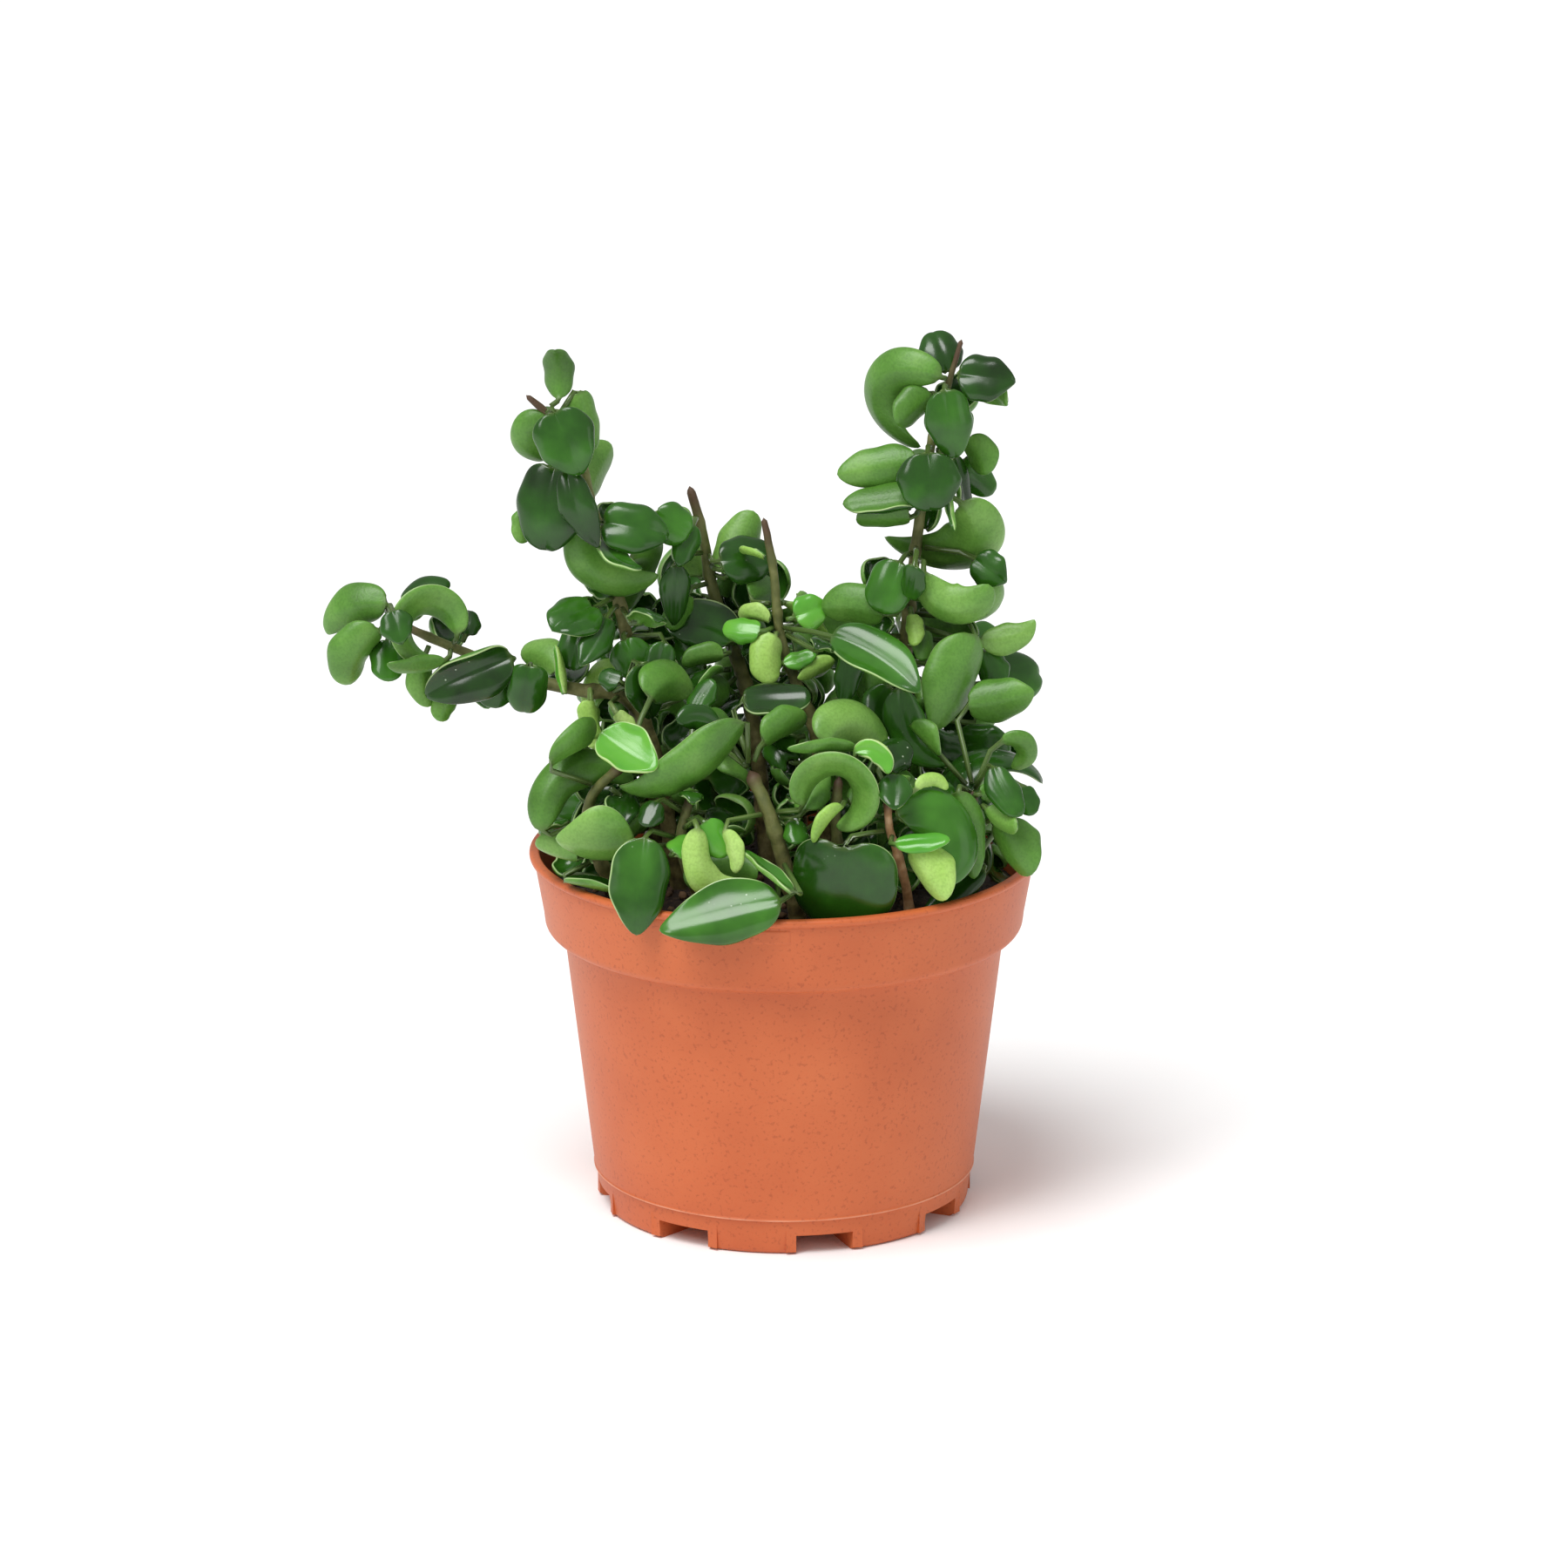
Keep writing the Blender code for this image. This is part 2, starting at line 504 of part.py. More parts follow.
def blade(spec, nudge, scale):
    """The blade's middle surface and its glossy-side normals, as grids of stations by columns.

    Each half of a cross-section starts at the fold's angle and turns by the half's curl and, near
    the margin, by the roll. Both turn less in proportion where the leaf is narrower.
    """
    length, width = (value * MM * LEAF_SCALE * scale for value in spec["size"])
    points, frames = midrib(spec, length, nudge)
    share = np.linspace(0, 1, FINE_STEPS + 1)
    taper = 1 - POINT_TAPER * spec.get("point", 0) * share**3
    outline = np.sin(np.pi * share**WIDEST_POWER) ** FULLNESS_POWER * taper
    half = np.maximum(width * PLUMP / 2 * outline, STALK_RADIUS * (1 - share))[:, None]
    fold = OPEN_FOLD if is_open(spec) else math.radians(spec.get("fold", 0)) * FOLD_GAIN
    reach = np.arange(FINE_HALF + 1) / FINE_HALF
    sides = []
    for curl in np.radians(np.broadcast_to(spec.get("curl", 0), 2)) * CURL_GAIN:
        roll = math.copysign(MARGIN_ROLL, curl)
        angle = fold + outline[:, None] * (curl * reach + roll * reach**4)
        sides.append([half * sums(np.cos(angle)), half * sums(np.sin(angle))])
    across = np.hstack([-sides[0][0][:, :0:-1], sides[1][0]])
    rise = np.hstack([sides[0][1][:, :0:-1], sides[1][1]])
    column = np.abs(np.arange(-FINE_HALF, FINE_HALF + 1)) / FINE_HALF
    lobe = spec.get("lobes", 0) * MM * LEAF_SCALE * scale * LOBE_GAIN
    back = lobe * np.outer(np.sqrt(share) * (1 - share) ** 3, column**2)
    surface = (points[:, None] + frames[:, None, 2] * across[..., None]
               + frames[:, None, 1] * rise[..., None] - frames[:, None, 0] * back[..., None])
    normals = np.cross(np.gradient(surface, axis=1), np.gradient(surface, axis=0))
    lengths = np.linalg.norm(normals, axis=2, keepdims=True)
    normals = normals / np.maximum(lengths, 1e-12)
    return surface, normals, frames


def stalk_start(base, along, stems):
    """Where the leaf's stalk meets the nearest stem, and the way that it leaves."""
    best = None
    for path, radii in stems:
        gaps = np.linalg.norm(path - base, axis=1)
        nearest = int(np.argmin(gaps - radii))
        if best is None or gaps[nearest] - radii[nearest] < best[0]:
            best = (gaps[nearest] - radii[nearest], path[nearest], radii[nearest])
    gap, centre, radius = best
    out = unit(base - centre)
    start = centre + out * (radius + STALK_RADIUS + CLEARANCE)
    if gap > LONGEST_STALK:
        start = base - out * LONGEST_STALK
    return start, out


def leaf_rings(spec, stems, attempt, gap=0.0):
    """Rings of a leaf from its stalk to its tip, and the tip. gap fattens it, to test for room."""
    nudge, scale = nudge_of(attempt)
    surface, normals, frames = blade(spec, nudge, scale)
    base, along, right = surface[0, FINE_HALF], frames[0, 0], frames[0, 2]
    thick = LEAF_THICKNESS / 2 + gap
    start, out = stalk_start(base, along, stems)
    rings = []
    span = np.linalg.norm(base - start)
    if span > 2 * STALK_RADIUS:
        knee, hip = start + out * span / 3, base - along * span / 3
        for step in range(STALK_STATIONS):
            share = step / STALK_STATIONS
            point = ((1 - share) ** 3 * start + 3 * share * (1 - share) ** 2 * knee
                     + 3 * share**2 * (1 - share) * hip + share**3 * base)
            slope = ((1 - share) ** 2 * (knee - start) + 2 * share * (1 - share) * (hip - knee)
                     + share**2 * (base - hip))
            across = unit(right - unit(slope) * np.dot(right, unit(slope)))
            up = np.cross(across, unit(slope))
            radius = STALK_RADIUS + gap
            side = radius * math.sqrt(0.5)
            rings.append([point - radius * across, point - side * (across - up), point + radius * up,
                          point + side * (across + up), point + radius * across,
                          point + side * (across - up), point - radius * up,
                          point - side * (across + up)])
    columns = [FINE_HALF + column for column in BLADE_COLUMNS]
    for station in BLADE_STATIONS:
        row, way = surface[station, columns], normals[station, columns]
        margin = (row - row[2]) / np.maximum(np.linalg.norm(row - row[2], axis=1), 1e-9)[:, None]
        edge = row + margin * gap
        top = row[1:4] + way[1:4] * thick
        bottom = row[1:4] - way[1:4] * thick
        rings.append([edge[0], *top, edge[4], *bottom[::-1]])
    return rings, surface[-1, FINE_HALF] + frames[-1, 0] * gap


def tree_of(rings, tip):
    """A search tree of a loft, for overlap tests."""
    bm = loft(rings, tip)
    tree = BVHTree.FromBMesh(bm)
    bm.free()
    return tree


def settled(spec, stems, placed):
    """The first attempt at which the leaf, fattened by the clearance, touches nothing placed."""
    for attempt in itertools.count():
        tree = tree_of(*leaf_rings(spec, stems, attempt, CLEARANCE))
        if not any(tree.overlap(other) for other in placed):
            return attempt


def make_leaves(placed):
    stems = [stem_path(name, 12) for name in STEMS]
    for spec in LEAVES:
        attempt = settled(spec, stems, placed)
        rings, tip = leaf_rings(spec, stems, attempt)
        placed.append(tree_of(rings, tip))
        colour = LIME_GREEN if spec.get("young") else LEAF_GREEN
        as_object(spec["name"], loft(rings, tip), colour, 0.3)


def clear_scene():
    for old in list(bpy.data.objects):
        bpy.data.objects.remove(old)


def main():
    clear_scene()
    solids = [make_pot(), make_soil()] + [make_stem(name) for name in STEMS]
    bpy.context.view_layer.update()
    graph = bpy.context.evaluated_depsgraph_get()
    make_leaves([BVHTree.FromObject(solid, graph) for solid in solids])


main()
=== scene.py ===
import json
import math

import bmesh
import bpy
import numpy as np
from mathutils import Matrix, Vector
from mathutils.bvhtree import BVHTree

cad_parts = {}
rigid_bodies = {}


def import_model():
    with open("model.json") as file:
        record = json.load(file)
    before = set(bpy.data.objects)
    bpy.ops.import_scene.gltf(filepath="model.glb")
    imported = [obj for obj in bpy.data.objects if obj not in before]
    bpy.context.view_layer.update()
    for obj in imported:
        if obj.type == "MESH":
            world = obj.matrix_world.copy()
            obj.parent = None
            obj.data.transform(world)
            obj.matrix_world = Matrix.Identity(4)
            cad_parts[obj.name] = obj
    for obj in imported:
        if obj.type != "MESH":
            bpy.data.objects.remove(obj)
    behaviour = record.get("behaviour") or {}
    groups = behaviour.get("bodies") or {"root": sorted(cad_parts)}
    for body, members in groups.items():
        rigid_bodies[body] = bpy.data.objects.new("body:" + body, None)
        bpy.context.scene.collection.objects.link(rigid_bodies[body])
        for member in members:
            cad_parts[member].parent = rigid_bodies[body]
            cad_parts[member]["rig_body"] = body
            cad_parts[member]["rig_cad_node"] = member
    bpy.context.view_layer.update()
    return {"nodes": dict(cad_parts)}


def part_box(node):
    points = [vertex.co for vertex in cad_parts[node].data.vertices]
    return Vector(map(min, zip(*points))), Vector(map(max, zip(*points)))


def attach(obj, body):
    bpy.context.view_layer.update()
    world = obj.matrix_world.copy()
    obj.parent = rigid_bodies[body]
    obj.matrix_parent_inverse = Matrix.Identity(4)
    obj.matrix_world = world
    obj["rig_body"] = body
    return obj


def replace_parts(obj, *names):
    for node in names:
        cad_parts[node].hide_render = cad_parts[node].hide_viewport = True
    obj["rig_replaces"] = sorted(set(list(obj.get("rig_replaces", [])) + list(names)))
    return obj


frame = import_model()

mm = 0.001


def linear(hexColour):
    # sRGB hex such as "c8653c" to linear RGBA
    parts = np.array([int(hexColour[i:i + 2], 16) for i in (0, 2, 4)]) / 255
    low, high = parts / 12.92, ((parts + 0.055) / 1.055) ** 2.4
    return (*np.where(parts <= 0.04045, low, high), 1.0)


def addNode(material, kind, settings=None, **links):
    # adds a node; a link's value is a (node, output) pair or a plain value; socket N is named inN
    node = material.node_tree.nodes.new("ShaderNode" + kind)
    for name, value in (settings or {}).items():
        setattr(node, name, value)
    for name, value in links.items():
        socket = node.inputs[int(name[2:]) if name.startswith("in") else name]
        if isinstance(value, tuple) and isinstance(value[0], bpy.types.Node):
            material.node_tree.links.new(value[0].outputs[value[1]], socket)
        else:
            socket.default_value = value
    return node


def newMaterial(name):
    # a material with its Principled shader
    material = bpy.data.materials.new(name)
    material.use_nodes = True
    return material, material.node_tree.nodes["Principled BSDF"]


def join(material, node, output, target, socket):
    # links one output to one named input
    material.node_tree.links.new(node.outputs[output], target.inputs[socket])


def ramp(material, source, stops):
    # a colour ramp through (place, hex) stops
    node = addNode(material, "ValToRGB", in0=source)
    elements = node.color_ramp.elements
    while len(elements) < len(stops):
        elements.new(0.5)
    for element, (place, colour) in zip(elements, stops):
        element.position, element.color = place, linear(colour)
    return node


def mixed(material, share, first, second, blend="MIX"):
    # mixes two colours by share
    return addNode(material, "Mix", {"data_type": "RGBA", "blend_type": blend},
                   in0=share, in6=first, in7=second)


def makeObject(name, points, faces, material, attributes=None):
    # one smooth-shaded object from arrays; attributes are floats per point
    mesh = bpy.data.meshes.new(name)
    mesh.from_pydata(np.asarray(points).tolist(), [], faces if isinstance(faces, list) else faces.tolist())
    for key, values in (attributes or {}).items():
        layer = mesh.attributes.new(key, "FLOAT", "POINT")
        layer.data.foreach_set("value", np.asarray(values, np.float32).ravel())
    mesh.shade_smooth()
    mesh.materials.append(material)
    made = bpy.data.objects.new(name, mesh)
    bpy.context.scene.collection.objects.link(made)
    return made


def gridFaces(rows, columns, closed=False):
    # quads of a rows x columns grid of points, closed round the columns if asked
    row = np.arange(rows - 1)[:, None]
    column = np.arange(columns if closed else columns - 1)[None, :]
    after = (column + 1) % columns
    corners = [row * columns + column, row * columns + after, (row + 1) * columns + after,
               (row + 1) * columns + column]
    spread = [np.broadcast_to(corner, (rows - 1, column.size)) for corner in corners]
    return np.stack(spread, -1).reshape(-1, 4)


studio = {"aim": (0, 0, 0.1284), "distance": 1.95, "rise": 16.0, "lens": 150.46,
          "key": 7.5, "fill": 2.0, "sun": 2.1, "sunSize": 30, "world": 0.5, "floor": "ffffff",
          "floorSide": 12.0}


def makeStudio():
    # the camera looks at aim from distance away, rise above level; lights in watts, sizes in metres
    rise = math.radians(studio["rise"])
    camera = bpy.data.objects.new("camera", bpy.data.cameras.new("camera"))
    camera.data.lens = studio["lens"]
    camera.data.sensor_width = 36
    camera.data.clip_end = 50
    aim = Vector(studio["aim"])
    camera.location = aim + studio["distance"] * Vector((0, -math.cos(rise), math.sin(rise)))
    camera.rotation_euler = (aim - camera.location).to_track_quat("-Z", "Y").to_euler()
    bpy.context.scene.collection.objects.link(camera)
    bpy.context.scene.camera = camera
    lights = [("key", (-1.0, -1.1, 1.35), 0.6), ("fill", (1.5, -1.3, 0.7), 0.9)]
    for name, place, size in lights:
        lamp = bpy.data.lights.new(name, "AREA")
        lamp.energy, lamp.size = studio[name], size
        holder = bpy.data.objects.new(name, lamp)
        holder.location = place
        holder.rotation_euler = (aim - Vector(place)).to_track_quat("-Z", "Y").to_euler()
        bpy.context.scene.collection.objects.link(holder)
    # a wide overhead light, the same everywhere on the floor
    sun = bpy.data.lights.new("overhead", "SUN")
    sun.energy, sun.angle = studio["sun"], math.radians(studio["sunSize"])
    holder = bpy.data.objects.new("overhead", sun)
    holder.rotation_euler = Vector((0.25, 0.35, -1)).to_track_quat("-Z", "Y").to_euler()
    bpy.context.scene.collection.objects.link(holder)
    world = bpy.data.worlds.new("studio")
    world.use_nodes = True
    world.node_tree.nodes["Background"].inputs["Color"].default_value = (1, 1, 1, 1)
    world.node_tree.nodes["Background"].inputs["Strength"].default_value = studio["world"]
    bpy.context.scene.world = world
    bpy.context.scene.view_settings.view_transform = "Standard"
    material, shader = newMaterial("pale studio floor")
    shader.inputs["Base Color"].default_value = linear(studio["floor"])
    shader.inputs["Roughness"].default_value = 0.9
    side = studio["floorSide"]
    corners = [(-side, -side, 0), (side, -side, 0), (side, side, 0), (-side, side, 0)]
    makeObject("floor", corners, [(0, 1, 2, 3)], material)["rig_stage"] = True


makeStudio()
print("studio set")


pot = {"height": 109, "rim": 76, "lip": 2.2, "overhang": 1.5, "band": 24, "bandTaper": 3, "step": 5.6,
       "bodyTaper": 10, "wall": 1.6, "seam": 11, "seamStep": 0.6, "channels": 8, "turn": -77.5,
       "channelHeight": 6, "channelStart": 34, "channelWidths": (10, 20), "drain": 3, "around": 256,
       "patchRise": 0.65, "patchTurn": -93, "patchRadius": 74, "patchHalf": (6.2, 2.6),
       "patchDrop": 3.2,
       "plastic": "c56436", "plasticDeep": "bd5d31", "plasticPale": "cb6b3c"}
bandTop = pot["rim"] - pot["overhang"]
bandFoot = bandTop - pot["bandTaper"]
stepHeight = pot["height"] - pot["band"]


def wallRadius(height):
    # outer radius in mm of the plain wall, a straight taper
    return bandFoot - pot["step"] - pot["bodyTaper"] * (1 - height / stepHeight)


def innerRadius(height):
    # inner radius in mm: a straight liner up to the step, a slope, then the band's liner
    inside = bandFoot - pot["wall"]
    below = wallRadius(height) - pot["wall"]
    slope = (height - stepHeight) / (2 * pot["wall"])
    foot = wallRadius(stepHeight) - pot["wall"]
    above = (inside + pot["bandTaper"] * (height - stepHeight - 2 * pot["wall"])
             / (pot["band"] - 2 * pot["wall"]))
    upper = np.where(slope < 1, foot + (inside - foot) * slope, above)
    return np.where(height <= stepHeight, below, upper)


def arc(centre, radius, start, stop, steps):
    # points (radius, height) on an arc, angles in degrees, 0 outwards and 90 up
    angles = np.radians(np.linspace(start, stop, steps))
    return [(centre[0] + radius * math.cos(a), centre[1] + radius * math.sin(a)) for a in angles]


def potProfile():
    # the shell's section in mm, from the underside's middle up the outside and down the inside
    height, lip, wall = pot["height"], pot["lip"], pot["wall"]
    seam, ledge = pot["seam"], pot["seamStep"]
    outside = [(0, 0), (20, 0), (40, 0)]
    outside += arc((wallRadius(0) - 2.2, 1.9), 1.9, -90, -8, 7)
    outside += [(wallRadius(seam) - ledge - 0.1, seam - 1.2), (wallRadius(seam) - ledge, seam - 0.5),
                (wallRadius(seam) + 0.25, seam - 0.1), (wallRadius(seam) + 0.25, seam + 0.25),
                (wallRadius(seam) + 0.02, seam + 0.6)]
    outside += [(wallRadius(h), h) for h in np.linspace(seam + 3, stepHeight - 2.5, 14)]
    outside += arc((wallRadius(stepHeight) + 1.3, stepHeight - 1.5), 1.3, 180, 100, 5)
    outside += arc((bandFoot - 3.2, stepHeight + 3.2), 3.2, -82, -4, 8)
    outside += [(bandFoot + (bandTop - bandFoot) * t,
                 stepHeight + 4 + (height - lip - stepHeight - 4.6) * t)
                for t in np.linspace(0.1, 1, 6)]
    outside += arc((bandTop + 0.5, height - lip + 0.35), 0.5, 190, 270, 3)
    outside += arc((pot["rim"] - lip / 2, height - lip / 2), lip / 2, -70, 90, 9)
    inside = arc((bandTop - wall + 0.8, height - 0.8), 0.8, 100, 180, 4)
    inside += [(float(innerRadius(h)), h) for h in
               (height - 3, stepHeight + 12, stepHeight + 3.4, stepHeight, 60, 30, wall + 0.6)]
    inside += [(float(innerRadius(wall)) - 0.8, wall), (30, wall), (0, wall)]
    return np.array(outside + inside)


def turnedSurface(profile, around):
    # the profile turned about Z; points at radius 0 become one pole each
    angles = 2 * np.pi * np.arange(around) / around
    inner = profile[1:-1]
    ring = np.stack([inner[:, :1] * np.cos(angles), inner[:, :1] * np.sin(angles),
                     np.repeat(inner[:, 1:], around, 1)], -1).reshape(-1, 3)
    faces = gridFaces(len(inner), around, closed=True).tolist()
    points = np.vstack([ring, [(0, 0, profile[0, 1]), (0, 0, profile[-1, 1])]])
    low, high = len(ring), len(ring) + 1
    last = (len(inner) - 1) * around
    faces += [(low, (i + 1) % around, i) for i in range(around)]
    faces += [(high, last + i, last + (i + 1) % around) for i in range(around)]
    return points * mm, faces


def prism(name, outline, bottom, top, material):
    # an upright block over an outline in mm
    count = len(outline)
    points = np.vstack([np.column_stack([outline, np.full(count, level)]) for level in (bottom, top)]) * mm
    faces = [tuple(range(count))[::-1], tuple(range(count, 2 * count))]
    faces += [(i, (i + 1) % count, count + (i + 1) % count, count + i) for i in range(count)]
    return makeObject(name, points, faces, material)


def potPlastic():
    # injection-moulded polypropylene in terracotta: matt with a soft sheen, faint mottling, fine
    # pale and dark specks, and a whiter line along the parting ridge
    material, shader = newMaterial("terracotta polypropylene")
    place = addNode(material, "TexCoord")
    cloud = addNode(material, "TexNoise", Vector=(place, "Object"), Scale=28.0, Detail=5.0)
    tone = ramp(material, (cloud, 0),
                [(0.3, pot["plasticDeep"]), (0.52, pot["plastic"]), (0.75, pot["plasticPale"])])
    speck = addNode(material, "TexNoise", Vector=(place, "Object"), Scale=900.0, Detail=2.0)
    dust = ramp(material, (speck, 0),
                [(0.3, "8f4a30"), (0.42, "ffffff"), (0.62, "ffffff"), (0.72, "ffe0cc")])
    flecked = mixed(material, 0.28, (tone, 0), (dust, 0), "MULTIPLY")
    parts = addNode(material, "SeparateXYZ", Vector=(place, "Object"))
    offset = addNode(material, "Math", {"operation": "SUBTRACT"},
                     in0=(parts, 2), in1=pot["seam"] * mm)
    away = addNode(material, "Math", {"operation": "ABSOLUTE"}, in0=(offset, 0))
    near = addNode(material, "MapRange", Value=(away, 0),
                   in1=0.0004, in2=0.0001, in3=0.0, in4=0.6)
    scuff = addNode(material, "TexNoise", Vector=(place, "Object"), Scale=120.0)
    worn = addNode(material, "Math", {"operation": "MULTIPLY"}, in0=(near, 0), in1=(scuff, 0))
    final = mixed(material, (worn, 0), (flecked, 2), linear("f6c9ab"))
    join(material, final, 2, shader, "Base Color")
    shader.inputs["Roughness"].default_value = 0.46
    shader.inputs["Specular IOR Level"].default_value = 0.4
    bump = addNode(material, "Bump", Height=(speck, 0), Strength=0.08, Distance=0.0002)
    join(material, bump, 0, shader, "Normal")
    return material


def makePot():
    # the turned shell, plus a cover over each channel, less the channel and its drain hole
    plastic = potPlastic()
    shell = makeObject("nurseryPot", *turnedSurface(potProfile(), pot["around"]), plastic)
    helpers = []
    for index in range(pot["channels"]):
        turn = math.radians(pot["turn"]) + 2 * math.pi * index / pot["channels"]
        spin = np.array([[math.cos(turn), math.sin(turn)], [-math.sin(turn), math.cos(turn)]])
        for kind, grow, bottom, top, reach in (
                ("UNION", pot["wall"], 0.5 * pot["wall"], pot["channelHeight"] + pot["wall"],
                 wallRadius(0) - 0.8),
                ("DIFFERENCE", 0, -2, pot["channelHeight"], wallRadius(0) + 8)):
            inner, outer = (width / 2 + grow for width in pot["channelWidths"])
            start = pot["channelStart"] - grow
            outline = np.array([(start, -inner), (reach, -outer), (reach, outer), (start, inner)]) @ spin
            helpers.append((kind, prism("channel", outline, bottom, top, plastic)))
        out = (pot["channelStart"] + 2 * pot["drain"]) * np.array([math.cos(turn), math.sin(turn)])
        ring = np.array(arc((0, 0), pot["drain"], 0, 337.5, 16)) + out
        helpers.append(("DIFFERENCE", prism("drain", ring, 4, 11, plastic)))
    for kind, helper in helpers:
        step = shell.modifiers.new("cut", "BOOLEAN")
        step.operation, step.object, step.solver = kind, helper, "EXACT"
    graph = bpy.context.evaluated_depsgraph_get()
    finished = bpy.data.meshes.new_from_object(shell.evaluated_get(graph))
    shell.modifiers.clear()
    shell.data = finished
    finished.shade_smooth()
    finished.set_sharp_from_angle(angle=math.radians(35))
    for kind, helper in helpers:
        bpy.data.objects.remove(helper)
    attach(shell, "root")
    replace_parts(shell, "pot")
    return plastic


def makePatch(plastic):
    # the small raised patch that the label sits on, under the lip at the front: it stands out from
    # the band by patchRise, softened towards its edges
    rows, columns = 9, 17
    across, up = np.meshgrid(np.linspace(-1, 1, columns), np.linspace(-1, 1, rows))
    soft = np.clip(np.minimum((1 - np.abs(across)) * 8, (1 - np.abs(up)) * 4), 0, 1)
    halfWidth, halfHeight = pot["patchHalf"]
    angle = np.radians(pot["patchTurn"]) + across * halfWidth / pot["patchRadius"]
    level = pot["height"] - pot["lip"] - pot["patchDrop"] + up * halfHeight
    radius = (bandFoot + pot["bandTaper"] * (level - stepHeight - 3) / (pot["band"] - 5) - 0.3
              + pot["patchRise"] * soft)
    front = np.stack([radius * np.cos(angle), radius * np.sin(angle), level], -1).reshape(-1, 3)
    back = front * np.array([0.99, 0.99, 1])
    faces = gridFaces(rows, columns).tolist()
    count = len(front)
    rim = list(range(columns)) + [columns * (r + 1) - 1 for r in range(1, rows)]
    rim += [columns * (rows - 1) + i for i in range(columns - 2, -1, -1)]
    rim += [columns * r for r in range(rows - 2, 0, -1)]
    faces += [tuple(count + i for i in face[::-1]) for face in gridFaces(rows, columns).tolist()]
    faces += [(rim[k], rim[k - 1], count + rim[k - 1], count + rim[k]) for k in range(len(rim))]
    patch = makeObject("labelPatch", np.vstack([front, back]) * mm, faces, plastic)
    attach(patch, "root")


makePatch(makePot())
print("pot made")


mix = {"belowRim": 14, "dome": 3, "gap": 0.4, "rings": 60, "around": 200, "roughness": 0.8,
       "seed": 11, "chips": 520, "chipSize": (1.2, 3.6), "peat": "33241a", "peatDark": "1d140e",
       "bark": "5b432f", "barkPale": "7a5c40", "perlite": "cfc8b8"}


def waves(points, seed, size, strength):
    # smooth noise in the range +-strength: a sum of five sines of random direction, wavelength ~size
    random = np.random.default_rng(seed)
    total = 0
    for _ in range(5):
        way = random.normal(size=3)
        way *= 2 * np.pi / (size * random.uniform(0.7, 1.6) * np.linalg.norm(way))
        total = total + np.sin(points @ way + random.uniform(0, 6.28))
    return strength * total / 3


def peatMix():
    # damp peat with bark crumbs: near-black brown, matt, grainy at 1 mm
    material, shader = newMaterial("damp peat mix")
    place = addNode(material, "TexCoord")
    grain = addNode(material, "TexNoise", Vector=(place, "Object"), Scale=700.0, Detail=6.0)
    tone = ramp(material, (grain, 0), [(0.3, mix["peatDark"]), (0.55, mix["peat"]), (0.75, mix["bark"])])
    kind = addNode(material, "Attribute", {"attribute_name": "crumb"})
    crumb = ramp(material, (kind, 2), [(0.0, mix["peat"]), (0.5, mix["bark"]), (0.93, mix["barkPale"]),
                                       (0.96, mix["perlite"])])
    isChip = addNode(material, "Math", {"operation": "GREATER_THAN"}, in0=(kind, 2), in1=0.001)
    final = mixed(material, (isChip, 0), (tone, 0), (crumb, 0))
    join(material, final, 2, shader, "Base Color")
    shader.inputs["Roughness"].default_value = mix["roughness"]
    bump = addNode(material, "Bump", Height=(grain, 0), Strength=0.8, Distance=0.0008)
    join(material, bump, 0, shader, "Normal")
    return material


